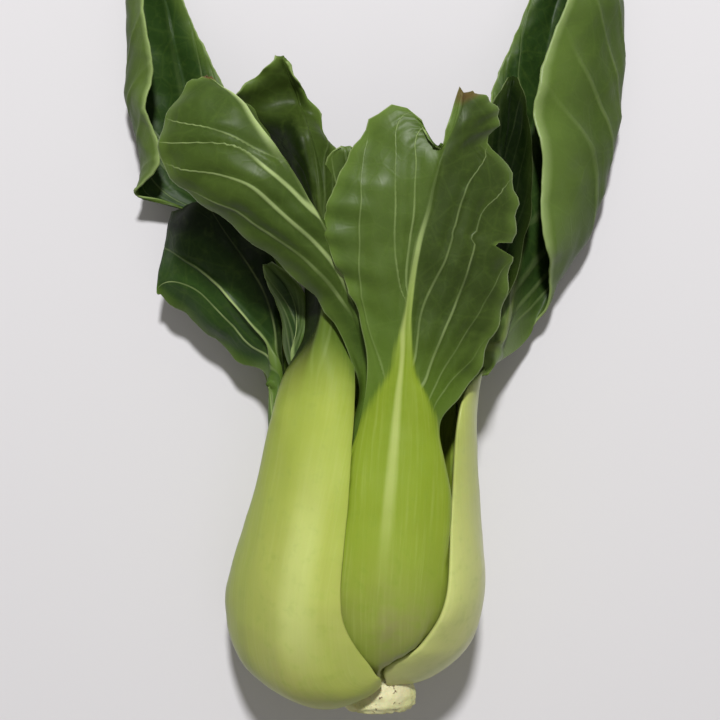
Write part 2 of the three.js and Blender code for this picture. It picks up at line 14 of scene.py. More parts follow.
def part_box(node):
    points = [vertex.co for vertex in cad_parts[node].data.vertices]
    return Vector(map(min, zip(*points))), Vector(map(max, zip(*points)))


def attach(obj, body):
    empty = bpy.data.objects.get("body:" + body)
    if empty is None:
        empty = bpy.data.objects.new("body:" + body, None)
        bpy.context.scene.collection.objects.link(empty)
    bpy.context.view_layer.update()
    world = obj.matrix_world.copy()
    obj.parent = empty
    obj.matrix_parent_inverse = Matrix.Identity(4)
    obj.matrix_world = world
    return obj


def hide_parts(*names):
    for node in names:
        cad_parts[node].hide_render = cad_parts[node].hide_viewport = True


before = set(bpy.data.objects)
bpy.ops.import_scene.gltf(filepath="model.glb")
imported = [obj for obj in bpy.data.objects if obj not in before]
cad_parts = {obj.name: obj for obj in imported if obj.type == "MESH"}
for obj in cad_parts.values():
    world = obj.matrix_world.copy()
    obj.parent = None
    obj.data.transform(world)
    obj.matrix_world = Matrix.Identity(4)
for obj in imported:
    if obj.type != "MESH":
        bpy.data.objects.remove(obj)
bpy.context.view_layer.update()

bl_info = {
    "name": "Baby bok choy",
    "version": (1, 0, 0),
    "blender": (4, 5, 0),
    "location": "3D View > Sidebar > Bok choy",
    "description": "Builds the leaves, stalks and cut stem of a head of baby bok choy",
    "category": "Add Mesh",
}

MM = 0.001
MIDDLE = (5.0, 95.2)  # the head's middle in the millimetres the leaf sections are given in
NECK = 5  # section at which a stalk turns into its blade
SHOULDER = 0.65  # where along its width a stalk section turns in
FULLNESS = 0.4  # how far a section holds its direction at the rib and the margin


# ---------------------------------------------------------------- leaf sections


def stalk(keel, face, side_a, side_b, lead=0.0):
    """Five guide points across a stalk: its keel, the way its outer face looks (0 up, 90 to -X),
    then the half width and inward depth of each side, and how far the rims lead along +Y."""
    turn = math.radians(face)
    side = np.array([math.cos(turn), 0, math.sin(turn)])
    out = np.array([-math.sin(turn), 0, math.cos(turn)])
    keel = np.array(keel, float)

    def at(width, depth, ahead):
        return keel + side * width - out * depth + np.array([0, ahead, 0])

    (wide_a, deep_a), (wide_b, deep_b) = side_a, side_b
    return [
        at(-wide_a, deep_a, lead),
        at(-wide_a * SHOULDER, deep_a * 0.3, lead * 0.35),
        keel,
        at(wide_b * SHOULDER, deep_b * 0.3, lead * 0.35),
        at(wide_b, deep_b, lead),
    ]


def blade(rib, margin_a, margin_b, bow_a=0.0, bow_b=0.0):
    """Five guide points across a blade: its midrib, its two margins, and for each side either a
    lift of its middle or the point that a rolled side passes through."""
    rib, margin_a, margin_b = (np.array(p, float) for p in (rib, margin_a, margin_b))

    def middle(margin, bow):
        if isinstance(bow, tuple):
            return np.array(bow, float)
        return (rib + margin) / 2 + np.array([0, 0, bow])

    return [margin_a, middle(margin_a, bow_a), rib, middle(margin_b, bow_b), margin_b]


def even_veins(count, first=5.2, step=0.9, rise=3.2):
    """Side veins that leave the midrib one after another and bend out to the margin."""
    return [
        [(first + step * k, 0.08), (first + step * k + rise * 0.35, 0.42),
         (first + step * k + rise * 0.7, 0.75), (first + step * k + rise, 1.02)]
        for k in range(count)
    ]


# From the outermost leaf to the innermost. rib_end is the section where the midrib ends, thick the
# thickness of the stalk, and wave the height of the margin's wave, its turns in one section and its
# phase. veins holds the side veins of both sides, from the one nearest the margin inwards, each as
# pairs of a section and a share of the half width, and light says how much of each vein shows. bare
# gives the sections where the pale skin starts and stops to narrow, and to how much, and notch the
# section where the second margin is cut, and how deep.
LEAVES = {
    "front_left": dict(
        rib_end=10, thick=7, wave=(0.8, 0.9, 0.5), veins=(even_veins(3), even_veins(3)),
        rows=[
            stalk((3, 6, 27), 46, (5, 1), (5, 1)),
            stalk((-7, 2, 34), 36, (15, 3), (14.5, 4), 8),
            stalk((-16, 9, 40.5), 48, (23.6, 6), (16, 14), 4),
            stalk((-18, 27, 43.5), 48, (29, 9), (15, 8)),
            stalk((-14, 52, 43.5), 40, (20, 9), (12.5, 6)),
            stalk((-9, 78, 43), 25, (12, 6), (8.5, 5.5)),
            blade((-6, 98, 42), (-11.5, 92.5, 33), (0, 94.5, 36.5), 1, 1),
            blade((-7, 116.5, 43), (-13.5, 113.5, 32), (1.5, 114, 40), 1.5, 1),
            blade((-8.5, 131.5, 43), (-18, 129, 26), (-2.5, 127, 39), (-13.5, 130.5, 41), 1),
            blade((-10.5, 139, 42.5), (-21.5, 137, 29), (-3.5, 133, 39), (-16.5, 138.5, 40), 1),
            blade((-12.5, 145.5, 37.5), (-27.5, 146, 38.5), (-7.5, 142, 38), 0, 1),
            blade((-14.5, 151, 40), (-22, 151.5, 41), (-11.5, 148.5, 40.5), 0.5, 0.5),
            blade((-16, 155.5, 43), (-17.5, 155, 43), (-15, 154, 43)),
        ],
    ),
    "right": dict(
        rib_end=12, thick=6.5, wave=(0.5, 0.8, 0.5),
        veins=(even_veins(4, 4.6, 1.1, 6), even_veins(5)), bare=(4.8, 5.4, 0.3),
        rows=[
            stalk((12, 6, 24), -88, (10, 3.5), (6, 1), 2),
            stalk((20, 8.5, 24.5), -88, (14.5, 11.5), (13, 4), 4),
            stalk((28.5, 16, 25), -89, (18, 12), (18, 8), 2.5),
            stalk((32.3, 30, 25), -90, (21, 10.3), (20, 10)),
            stalk((31, 52, 25.5), -90, (16.5, 7.5), (16, 8)),
            stalk((30.5, 78, 26), -93, (11, 4), (11, 4)),
            blade((36, 92.5, 19), (42.5, 89, 9), (28.5, 99.5, 25), 0, 1),
            blade((38.5, 106, 16), (50, 102.5, 14), (30.5, 114, 24), (49.5, 102.5, 7), 1),
            blade((41, 121.5, 13), (47, 114, 25), (32, 129, 23), (60.5, 119, 7), 1),
            blade((44, 138, 11), (46, 133.5, 26), (33, 141.5, 22), (66.5, 138, 8), 1),
            blade((47, 152, 10), (44.5, 147, 26), (34.5, 151, 19), (68.5, 152, 8), 1),
            blade((49.5, 166, 9), (48, 160.5, 25), (39, 162, 15), (69, 167.5, 8), 1),
            blade((53, 181, 8), (54, 177, 21), (46, 178, 11), (67.5, 181, 8), 1),
            blade((55.5, 189, 8), (57, 188.5, 12), (52.5, 188, 9), (60, 189, 9), 0),
        ],
    ),
    "back_right": dict(
        rib_end=9, thick=6.5, wave=(0.6, 0.8, 0), veins=(even_veins(4), even_veins(4)),
        rows=[
            stalk((9, 6, 19), 200, (6, 1), (6, 1)),
            stalk((11, 5, 10), 197, (12, 4), (14, 4), 3),
            stalk((12, 13, 2.5), 193, (17, 8), (19, 8), 1),
            stalk((12, 29, -0.5), 192, (21, 9), (21, 11)),
            stalk((14, 52, -0.3), 192, (17, 7), (17, 9)),
            stalk((17, 76, 0.8), 190, (12, 5), (12, 5)),
            blade((20, 92, 0.5), (33, 90, 3), (8, 95, 3.5)),
            blade((24, 106, 0.5), (41, 102, 2.5), (9, 110, 3.5), -0.5, -0.5),
            blade((27, 118, 0.5), (43, 114, 3), (13, 124, 4.5), -0.5, -0.5),
            blade((30, 129, 1.5), (39, 129, 3.5), (20, 134, 4.5), -0.3, -0.3),
            blade((32, 135, 3), (34, 135, 3.5), (29, 136, 3.5)),
        ],
    ),
    "back_left": dict(
        rib_end=13, thick=6.5, wave=(0.5, 0.8, 0.5), veins=(even_veins(5), even_veins(5)),
        bare=(4.2, 5.2, 0.4),
        rows=[
            stalk((3, 5, 21), 125, (6, 1), (6, 1)),
            stalk((-8, 2.5, 15), 125, (13, 4), (13, 4), 4),
            stalk((-16, 10, 9.5), 126, (16, 8), (18, 8), 1),
            stalk((-19.5, 28, 7), 128, (15.5, 8), (20, 9)),
            stalk((-17, 52, 7), 132, (15, 8), (15, 7)),
            stalk((-15, 78, 7.5), 150, (12, 5), (9, 4)),
            blade((-23, 100, 7), (-13, 102.5, 9), (-31.5, 95.5, 6)),
            blade((-31.5, 116.5, 7), (-19.5, 119, 11), (-41, 122, 7), 1, 1),
            blade((-35.5, 126.5, 7), (-22.5, 129, 11.5), (-55, 127, 11), 1, (-48.5, 126, 6.5)),
            blade((-38.5, 135, 7), (-26.5, 139.5, 12), (-47.5, 133, 19), 1, (-53.5, 139, 6)),
            blade((-41.5, 148.5, 7), (-31, 151.5, 11), (-50.5, 146, 20), 1, (-56.3, 149.5, 7)),
            blade((-44, 161, 7), (-37, 163, 10), (-49.5, 158.5, 20), 0.5, (-57.2, 163.5, 7)),
            blade((-46.5, 174, 7), (-42, 174, 9), (-52, 172.5, 19), 0.5, (-57, 176.5, 7)),
            blade((-50, 184, 7), (-46.5, 184.5, 8), (-53.5, 182.5, 14), 0.5, (-56.5, 184.5, 7)),
            blade((-52, 189.5, 7), (-50.5, 189.5, 8), (-53, 189.5, 8)),
        ],
    ),
    "front_middle": dict(
        rib_end=13, thick=6.5, wave=(0.5, 1.3, 1.0),
        veins=(
            [
                [(5.9, 0.62), (6.3, 0.81), (7, 0.85), (7.7, 0.7),
                 (8.7, 0.59), (9.7, 0.64), (10.7, 0.79), (12, 0.95)],
                [(7.6, 0.15), (8.4, 0.24), (9, 0.27), (9.9, 0.34), (11, 0.46), (11.9, 0.57), (13, 0.8)],
                [(7.6, 0.1), (8.3, 0.12), (9, 0.11), (9.7, 0.15), (10.9, 0.24), (12.1, 0.31), (13, 0.5)],
            ],
            [
                [(5.2, 0.66), (5.9, 0.71), (6.7, 0.78), (7.3, 0.88), (7.8, 1)],
                [(5.3, 0.53), (6.2, 0.58), (6.9, 0.61), (7.5, 0.69), (8.2, 0.78), (8.7, 0.84), (9.4, 1)],
                [(5.6, 0.39), (6.9, 0.43), (7.4, 0.46), (8, 0.51),
                 (8.7, 0.54), (9.3, 0.56), (10.2, 0.56), (11, 0.7)],
                [(6, 0.19), (7.2, 0.15), (7.7, 0.19), (8.2, 0.25),
                 (8.7, 0.31), (9.3, 0.34), (11, 0.36), (12, 0.5)],
            ],
        ),
        light=((0.6, 0.8, 1), (0.5, 0.5, 1, 1)), bare=(4, 6, 0.8), notch=(9.5, 9),
        rows=[
            stalk((9.5, 6, 26), -3, (5, 1), (5, 1)),
            stalk((9.3, 9, 35.5), -3, (11, 4), (10, 4), 2),
            stalk((9.5, 16.5, 44.5), -3, (17, 7.5), (13.5, 8), 1),
            stalk((9.8, 30, 49), -3, (18, 7), (14, 7.5)),
            stalk((11.6, 52, 49), -2, (16.5, 6), (12, 5)),
            stalk((12.5, 74, 47.5), 0, (11, 3.5), (8, 3.5), -5),
            blade((12.5, 85, 47), (3.5, 84, 46.5), (25.5, 76.5, 43), 1, 1),
            blade((13, 94, 48.5), (1, 97.5, 49.5), (30, 83, 42), 1, 1.5),
            blade((14, 103, 50.5), (-4, 107, 52.5), (34.5, 95, 43), 1.5, 2),
            blade((15.5, 112, 53), (-6.5, 116, 53.5), (37, 105.5, 46), 2, 2.5),
            blade((17.5, 119, 55), (-4, 124, 54.5), (37.5, 114.5, 47), 2, 2.5),
            blade((18.5, 124, 56.5), (0, 132, 53), (38, 122.5, 48), 2, 2),
            blade((19.5, 128, 57.5), (5.5, 140.5, 54), (35, 131, 50), 1.5, 2),
            blade((20, 129.8, 58), (12.5, 142, 55), (30.5, 134, 53), 0.5, 1.5),
            blade((21, 132.7, 58.4), (19.3, 132.2, 58), (33.3, 138.5, 54), 0, 1.5),
            blade((23.5, 138, 59), (21.3, 137, 58.6), (32, 143, 55.5), 0, 1.5),
            blade((25, 144.3, 60), (24, 145.8, 60), (27.5, 145.3, 58)),
        ],
    ),
    "left": dict(
        rib_end=10, thick=4.5, wave=(0.4, 0.8, 0.5),
        veins=(
            [[(5.8, 0.4), (6.3, 0.46), (6.8, 0.49), (7.5, 0.54), (8, 0.52), (9, 0.7)]],
            [[(5.8, 0.3), (6.3, 0.45), (6.8, 0.49), (7.6, 0.46),
              (8.4, 0.41), (9, 0.41), (9.7, 0.49), (10.6, 0.8)]],
        ),
        bare=(3.5, 5.6, 0.3),
        rows=[
            stalk((1, 6, 23), 95, (5, 1), (5, 1)),
            stalk((-9, 4.5, 23), 92, (11, 3), (11, 3), 4),
            stalk((-18.5, 11, 23.5), 90, (15, 5), (13, 5), 1),
            stalk((-23.5, 27, 24), 88, (16, 5.5), (14, 5.5)),
            stalk((-20.7, 52, 24), 90, (12, 5), (10, 4)),
            stalk((-19.6, 74, 22.5), 112, (5, 2), (4.5, 2)),
            blade((-19, 87, 21), (-17, 88.5, 21.5), (-20.8, 81.5, 19)),
            blade((-23, 93.5, 22), (-17, 103, 25), (-27, 84.5, 13), 1, 0.8),
            blade((-29.5, 100.5, 23), (-21.5, 115, 28), (-34.5, 90.5, 12), 1.5, 1.5),
            blade((-36, 106.5, 22), (-30.5, 122.5, 27), (-41.5, 97, 12), 1.5, 1.5),
            blade((-42.5, 111, 19), (-39.5, 123, 22), (-47, 100.5, 12), 1.5, 1),
            blade((-46.5, 113, 15), (-44, 121.5, 17), (-48.5, 102.5, 12)),
        ],
    ),
    "lower_right": dict(
        rib_end=9, thick=4.5, wave=(0.6, 0.8, 0.5), veins=(even_veins(4), even_veins(4)),
        rows=[
            stalk((11, 7, 21), -125, (5, 1), (5, 1)),
            stalk((17, 9, 15), -128, (10, 3), (10, 3), 2),
            stalk((22, 17, 10.5), -130, (13, 5), (13, 5), 1),
            stalk((24, 30, 9.5), -130, (14, 5.5), (14, 5.5)),
            stalk((23, 52, 11), -132, (12, 5), (12, 5)),
            stalk((21, 76, 14), -150, (9, 3.5), (9, 3.5)),
            blade((21, 90, 15.5), (30, 88, 13), (12, 91, 17)),
            blade((20, 102, 15), (33, 101, 12), (7, 103, 17), 1, 1),
            blade((18, 113, 15), (33, 112, 12), (4, 114, 17), 1, 1),
            blade((16, 122, 15.5), (28, 122, 13.5), (4, 123, 18), 1, 1),
            blade((15, 128, 16.5), (21, 128.5, 16), (9, 128, 18), 0.5, 0.5),
            blade((14.5, 131, 17), (16, 131, 17), (12.5, 131, 17.5)),
        ],
    ),
    "inner_left": dict(
        rib_end=11, thick=4.5, wave=(0.4, 1.1, 0),
        veins=(
            [
                [(7, 0.35), (7.3, 0.39), (7.8, 0.52), (8.3, 0.68),
                 (8.8, 0.74), (9.3, 0.8), (9.6, 0.89), (10, 1)],
                [(7, 0.03), (7.5, 0.1), (8.2, 0.27), (8.9, 0.39),
                 (9.5, 0.41), (9.8, 0.51), (10, 0.62), (10.5, 0.93)],
                [(8.6, 0.01), (9.2, 0.11), (9.7, 0.2), (10.3, 0.25), (10.8, 0.33), (10.9, 0.5), (11, 0.95)],
                [(10.3, 0.22), (10.8, 0.28), (11.1, 0.41), (11.4, 0.53), (11.6, 0.76), (11.8, 1)],
            ],
            even_veins(2, 5.6, 1.1, 2.6),
        ),
        light=((0.45, 0.75, 1, 0.6), (0.2, 0.2)), bare=(4.5, 6, 0.5),
        rows=[
            stalk((7, 6, 27), 10, (4, 1), (4, 1)),
            stalk((4, 11, 34), 8, (7, 2), (7, 2), 1),
            stalk((2, 18, 38.5), 6, (10, 2.5), (10, 2.5)),
            stalk((1, 30, 40), 4, (11, 3), (11, 3)),
            stalk((2, 52, 39.5), 2, (9, 3), (9, 3)),
            blade((4, 77, 39), (1.5, 75, 37), (6.5, 76.5, 34), 1, 1),
            blade((3.5, 87.5, 42), (-1.5, 88.5, 42.5), (8, 89.5, 38.5), 0.5, 1),
            blade((0, 99, 47), (-8, 98.5, 45.5), (6, 101.5, 43), 1.5, 1),
            blade((-3.5, 110, 52), (-18.5, 108.5, 48.5), (4, 112.5, 47), 3, 1.5),
            blade((-9.8, 121, 56.5), (-30.5, 117.5, 51), (-8.5, 118.7, 48.5), 4, 0.5),
            blade((-15.6, 130.4, 58.5), (-39.5, 124.5, 52), (-13.5, 127.6, 50.5), 4, 0.5),
            blade((-20.7, 137.7, 59), (-44, 132.5, 52), (-18.5, 135.3, 51), 4, 0.5),
            blade((-25.3, 144, 57), (-41.5, 141, 52), (-22.5, 142, 51), 3, 0.5),
            blade((-29.5, 147.2, 55), (-36.5, 148, 53), (-28.3, 146.3, 53), 1, 0),
            blade((-32, 149, 54), (-32.5, 149, 54), (-31.5, 149, 54)),
        ],
    ),
    "inner_right": dict(
        rib_end=10, thick=4, wave=(0.4, 0.8, 0.5), veins=(even_veins(4), even_veins(4)),
        rows=[
            stalk((10, 7, 25), -50, (4, 1), (4, 1)),
            stalk((15, 11, 31), -50, (8, 2), (8, 2), 1),
            stalk((18, 18, 33.5), -50, (11, 3), (11, 3)),
            stalk((19.5, 30, 34), -48, (12, 4), (12, 4)),
            stalk((19, 52, 34), -50, (9, 4), (9, 4)),
            stalk((20.5, 76, 33), -65, (7, 3), (7, 3)),
            blade((30, 99.5, 31), (36, 98.5, 27), (26, 101.5, 34), 0.5, 0.5),
            blade((33, 116, 30), (42, 115.5, 24), (26.5, 117, 32), 0.5, 0.5),
            blade((35.5, 133, 30), (44, 132.5, 22.5), (29.5, 133, 32), 0.5, 1),
            blade((37, 145, 29), (42.5, 145, 23.5), (33, 144.5, 30), 0.5, 1),
            blade((38.2, 151, 28.5), (41.5, 150, 26.5), (35.8, 150, 28.5)),
            blade((38.8, 153.5, 28), (40, 153, 27.5), (37.5, 153, 28)),
        ],
    ),
    "heart_back": dict(
        rib_end=9, thick=3.5, wave=(0.4, 0.8, 0.5), veins=(even_veins(3), even_veins(3)),
        rows=[
            stalk((6, 7, 22), 150, (4, 1), (4, 1)),
            stalk((2, 11, 17), 150, (8, 2), (8, 2), 1),
            stalk((0, 18, 14), 150, (10, 3), (10, 3)),
            stalk((-1, 30, 13.5), 150, (11, 4), (11, 4)),
            stalk((0, 52, 16), 155, (9, 3), (9, 3)),
            stalk((2, 76, 20), 165, (6, 2.5), (6, 2.5)),
            blade((1, 88, 22), (7, 88, 21.5), (-5, 88, 23.5)),
            blade((0, 98, 23.5), (8, 98, 23), (-8.5, 98, 26), 0.5, 0.5),
            blade((-0.5, 107, 24.5), (7.5, 107, 24.5), (-9, 107, 27), 0.5, 0.5),
            blade((-1, 114, 25.5), (4, 114, 26), (-6.5, 114, 27.5)),
            blade((-1, 118, 26.5), (0.5, 118, 26.5), (-2.5, 118, 26.5)),
        ],
    ),
    "inner_small": dict(
        rib_end=9, thick=3, wave=(0, 1, 0), veins=(even_veins(3), even_veins(3)),
        rows=[
            stalk((5, 7, 25), 75, (4, 1), (4, 1)),
            stalk((0, 11, 28), 78, (6, 2), (6, 2), 1),
            stalk((-5, 18, 29.5), 79, (8, 2.5), (8, 2.5)),
            stalk((-8, 30, 30), 80, (8.5, 3), (8.5, 3)),
            stalk((-10, 52, 31), 82, (6.5, 2.5), (6.5, 2.5)),
            stalk((-11.5, 72, 32), 85, (4.5, 2), (4.5, 2)),
            blade((-13, 84.5, 32), (-11, 87, 33), (-15.5, 86.5, 29), 0.3, 0.3),
            blade((-12.5, 91, 32.5), (-10.5, 94, 33), (-16, 93.5, 29), 0.5, 1),
            blade((-13, 97, 32.5), (-11, 100, 33), (-18, 99.5, 30), 0.5, 1),
            blade((-15, 102, 32), (-14, 104.5, 32), (-20, 103.5, 30), 0.3, 0.6),
            blade((-20, 108, 31), (-19, 108.5, 31), (-21, 108, 30.5)),
        ],
    ),
    "heart_front": dict(
        rib_end=9, thick=3, wave=(0.4, 0.8, 0.5), veins=(even_veins(3), even_veins(3)),
        rows=[
            stalk((8, 8, 25), -10, (3, 1), (3, 1)),
            stalk((8, 12, 27), -10, (5, 1), (5, 1)),
            stalk((8, 20, 28.5), -8, (6.5, 2), (6.5, 2)),
            stalk((8, 32, 29.5), -5, (6.5, 2), (6.5, 2)),
            stalk((8, 52, 31), 0, (5, 2), (5, 2)),
            stalk((7.5, 74, 34), 0, (4, 1.5), (4, 1.5)),
            blade((6, 92, 36), (-2, 92, 35), (13, 92, 35)),
            blade((4, 108, 38.5), (-6, 107, 37), (13, 108, 37.5), 1, 1),
            blade((1, 122, 41), (-7.5, 122, 39), (9, 122, 40), 1, 1),
            blade((-1, 131, 43), (-5.5, 132, 42), (4, 131, 42)),
            blade((-1.5, 134.5, 43.5), (-2.5, 134.5, 43.5), (0, 134.5, 43.5)),
        ],
    ),
}


# ---------------------------------------------------------------- sizes and colours


def colour(name, text, red, green, blue):
    """A colour property, given as the red, green and blue that a screen shows, from 0 to 255."""
    shown = [c / 255 for c in (red, green, blue)]
    linear = [c / 12.92 if c <= 0.04045 else ((c + 0.055) / 1.055) ** 2.4 for c in shown]
    return FloatVectorProperty(
        name=name, description=text, subtype="COLOR", size=3, min=0, max=1, default=linear
    )


class BokChoySizes(bpy.types.PropertyGroup):
    """Sizes of the leaves that can be changed without moving a section."""

    blade_thickness: FloatProperty(
        name="Blade thickness", description="Thickness of a blade between its veins",
        default=0.0007, min=0.0004, max=0.002, unit="LENGTH",
    )
    rim_thickness: FloatProperty(
        name="Rim thickness", description="Thickness of a stalk at its rims",
        default=0.0013, min=0.0006, max=0.003, unit="LENGTH",
    )
    vein_height: FloatProperty(
        name="Vein height", description="How far a side vein stands out of the blade",
        default=0.0003, min=0, max=0.001, unit="LENGTH",
    )
    pucker_height: FloatProperty(
        name="Pucker height", description="How far a blade swells between its veins",
        default=0.0006, min=0, max=0.002, unit="LENGTH",
    )
    facet: FloatProperty(
        name="Facet length", description="Length of the mesh cells on the leaves that show",
        default=0.0009, min=0.0005, max=0.004, unit="LENGTH",
    )


class BokChoyColours(bpy.types.PropertyGroup):
    """Colours of the skin."""

    foot: colour("Stalk foot", "Stalk where it meets the stem", 200, 200, 140)
    # The low stalk colour is painted shade, darker and greyer where the stalk curves down away from the
    # light.
    low: colour("Low stalk", "Stalk above its foot", 136, 136, 84)
    warm_stalk: colour("Warm stalk", "Stalk that has had the most light", 194, 200, 106)
    green_stalk: colour("Green stalk", "Stalk with the most green in it", 156, 172, 60)
    deep_stalk: colour("Deep stalk", "Stalk of a leaf shaded by the others", 100, 122, 56)
    pale_stalk: colour("Pale stalk", "Stalk that has had the least light", 212, 212, 142)
    # This colour serves the stalk's real pale streaks and also a painted highlight up the middle of a stalk.
    ridge: colour("Ridge", "Pale line along the middle of a stalk", 204, 213, 136)
    blade_back: colour("Blade back", "Outer side of a blade", 66, 84, 32)
    blade_face: colour("Blade face", "Inner side of a blade", 40, 62, 24)
    margin: colour("Margin", "Edge of a blade", 100, 124, 52)
    vein: colour("Vein", "Veins and midrib of a blade", 166, 184, 122)
    scorch: colour("Scorch", "Dried tip and specks", 96, 70, 42)
    cut: colour("Cut stem", "Flesh of the cut stem", 208, 202, 160)


class BokChoyStage(bpy.types.PropertyGroup):
    """Floor, light and camera."""

    floor: colour("Floor", "Colour of the floor", 209, 207, 210)
    key_power: FloatProperty(
        name="Key power", description="Power of the main light", default=13.5, min=0, unit="POWER"
    )
    sky: FloatProperty(name="Sky", description="Strength of the even light", default=0.24, min=0)
    eye: FloatVectorProperty(
        name="Eye", description="Place of the camera, which looks straight down",
        subtype="TRANSLATION", unit="LENGTH", size=3, default=(-0.003, -0.0102, 0.430),
    )
    lens: FloatProperty(
        name="Lens", description="Focal length of the camera in millimetres",
        default=83.33, min=10, max=300,
    )


# ---------------------------------------------------------------- the surface of a leaf

# A place on a leaf is given by u, which counts its sections from the foot, and t, which goes from
# -1 at its first margin over 0 at its midrib to 1 at its second. Lengths are in millimetres.

MARGINS = (0, 4)  # which guide points of a section are its first and its second margin
FEWEST_ROWS = 24  # rows of points that even the shortest leaf has
TRACED = 1200  # places at which a midrib's length is measured
CROWDING = 1.25  # how much closer the columns of points stand at the margins than at the midrib
EVENINGS = 6  # how many times the outward directions are evened out across a leaf


def step(value, low, high):
    """Smooth rise from 0 at low to 1 at high."""
    x = np.clip((value - low) / (high - low), 0, 1)
    return x * x * (3 - 2 * x)


def blend(low, high, share):
    """A value that goes from low to high as share goes from 0 to 1."""
    return low + (high - low) * share


def unit(vectors):
    """The same directions, each with a length of one."""
    return vectors / np.maximum(np.linalg.norm(vectors, axis=-1, keepdims=True), 1e-9)


def travelled(path):
    """Distance along a path from its start to each of its points."""
    return np.concatenate([[0], np.cumsum(np.linalg.norm(np.diff(path, axis=0), axis=1))])


def filled_in(coarse, every, long, wide):
    """A grid that is known at every few rows and columns, worked out for all of them."""
    known_rows, known_columns = np.arange(0, long, every), np.arange(0, wide, every)
    across = np.array([np.interp(np.arange(wide), known_columns, row) for row in coarse])
    return np.array([np.interp(np.arange(long), known_rows, line) for line in across.T]).T


def guide_points(rows, u):
    """The five guide points of a leaf at each position u along its sections."""
    last = len(rows) - 1
    i = np.clip(np.floor(u).astype(int), 0, last - 1)
    f = (u - i)[:, None, None]
    here, after = rows[i], rows[i + 1]
    before = np.where(i[:, None, None] > 0, rows[np.maximum(i - 1, 0)], 2 * here - after)
    beyond = np.where(i[:, None, None] < last - 1, rows[np.minimum(i + 2, last)], 2 * after - here)
    return 0.5 * (
        2 * here
        + (after - before) * f
        + (2 * before - 5 * here + 4 * after - beyond) * f**2
        + (3 * here - before - 3 * after + beyond) * f**3
    )


def plain_surface(guides, t):
    """Points of the outer face for every section and every place t across it."""
    rib = guides[:, None, 2]
    sides = []
    for middle, margin, chosen in ((1, 0, t < 0), (3, 4, t >= 0)):
        mid, rim = guides[:, None, middle], guides[:, None, margin]
        pull = FULLNESS * (rib - rim)
        first = (4 * mid - rib) / 3 + pull
        second = (4 * mid - rim) / 3 - pull
        s = np.abs(t[chosen])[None, :, None]
        sides.append(
            (1 - s) ** 3 * rib + 3 * (1 - s) ** 2 * s * first + 3 * (1 - s) * s**2 * second + s**3 * rim
        )
    return np.concatenate(sides, axis=1)


def outward(points):
    """Direction that the outer face looks at each point, evened out across the leaf."""
    out = unit(np.cross(np.gradient(points, axis=1), np.gradient(points, axis=0)))
    for _ in range(EVENINGS):
        out[:, 1:-1] = unit(out[:, :-2] + 2 * out[:, 1:-1] + out[:, 2:])
    return out


class LeafGrid:
    """The rows and columns of points laid over one leaf, and how wide the leaf is at each row."""

    def __init__(self, name, cell, across):
        self.leaf = LEAVES[name]
        self.seed = float(list(LEAVES).index(name))
        rows = np.array(self.leaf["rows"], float)
        self.last = len(rows) - 1

        # Rows stand a cell apart along the midrib, and columns are given by their number.
        dense = np.linspace(0, self.last, TRACED)
        travel = travelled(guide_points(rows, dense)[:, 2])
        count = max(FEWEST_ROWS, int(travel[-1] / cell))
        self.u = np.interp(np.linspace(0, travel[-1], count), travel, dense)
        self.t = np.sin(np.linspace(-1, 1, across) * CROWDING) / math.sin(CROWDING)
        self.guides = guide_points(rows, self.u)

        self.along = np.repeat(self.u[:, None], across, axis=1)
        self.size = np.abs(self.t)[None, :]
        self.sign = np.sign(self.t)[None, :]
        self.half = [np.linalg.norm(self.guides[:, 2] - self.guides[:, m], axis=-1) for m in MARGINS]
        neck = guide_points(rows, np.array([float(NECK)]))[0]
        self.half_at_neck = [np.linalg.norm(neck[2] - neck[m]) for m in MARGINS]
        self.wide = self.by_side(self.half)

    def by_side(self, values):
        """The values of the first and the second side, laid over the grid where each side is."""
        first, second = (v[:, None] if np.ndim(v) == 1 else v for v in values)
        return np.where(self.t[None, :] < 0, first, second)


# ---------------------------------------------------------------- leaves packed in one another

SETTLED = []  # inner faces of the stalks already in place, from the outermost inwards
ROOM = 0.3  # how far a stalk is kept from the one outside it
REACH = 10.0  # how far through an outer stalk an inner one is looked for
BESIDE = 0.6  # how far past the rim of an outer stalk an inner one is free of it
PRESSED = 3  # every third row and column is pressed, and those between follow
PRESSES = 8  # how many times a leaf is pressed inwards
SOFT_PRESSES = 6  # how many of them are evened out afterwards


def soften(field):
    """Each value of a grid of vectors, half way to the mean of its neighbours."""
    wider = np.pad(field, ((1, 1), (1, 1), (0, 0)), mode="edge")
    around = (wider[:-2, 1:-1] + wider[2:, 1:-1] + wider[1:-1, :-2] + wider[1:-1, 2:]) / 4
    return (field + around) / 2


def pressed_in(point):
    """A point moved inwards out of every stalk that it would come through."""
    for face, columns in SETTLED:
        near, normal, cell, _ = face.find_nearest(point, REACH)
        if near is None:
            continue
        depth = (point - near).dot(normal)
        aside = ((point - near) - normal * depth).length
        on_rim = cell % columns in (0, columns - 1)
        if depth < ROOM and not (on_rim and aside > BESIDE):
            point = point + normal * (ROOM - depth)
    return point


def settle(points, u, t):
    """Presses a leaf inwards wherever it would come through a stalk that lies outside it."""
    few_u, few_t = np.arange(0, len(u), PRESSED), np.arange(0, len(t), PRESSED)
    rest = points[np.ix_(few_u, few_t)]
    shift = np.zeros_like(rest)
    held = (1 - step(u[few_u], NECK - 0.2, NECK + 0.8)) * step(u[few_u], 0.0, 0.6)
    for turn in range(PRESSES):
        here = rest + shift
        for i in np.flatnonzero(held > 0.02):
            for j in range(len(few_t)):
                moved = np.array(pressed_in(Vector(here[i, j])))
                shift[i, j] += (moved - here[i, j]) * held[i]
        if turn < SOFT_PRESSES:
            shift = soften(shift)
    fine = [filled_in(shift[..., axis], PRESSED, len(u), len(t)) for axis in range(3)]
    return points + np.stack(fine, axis=-1)


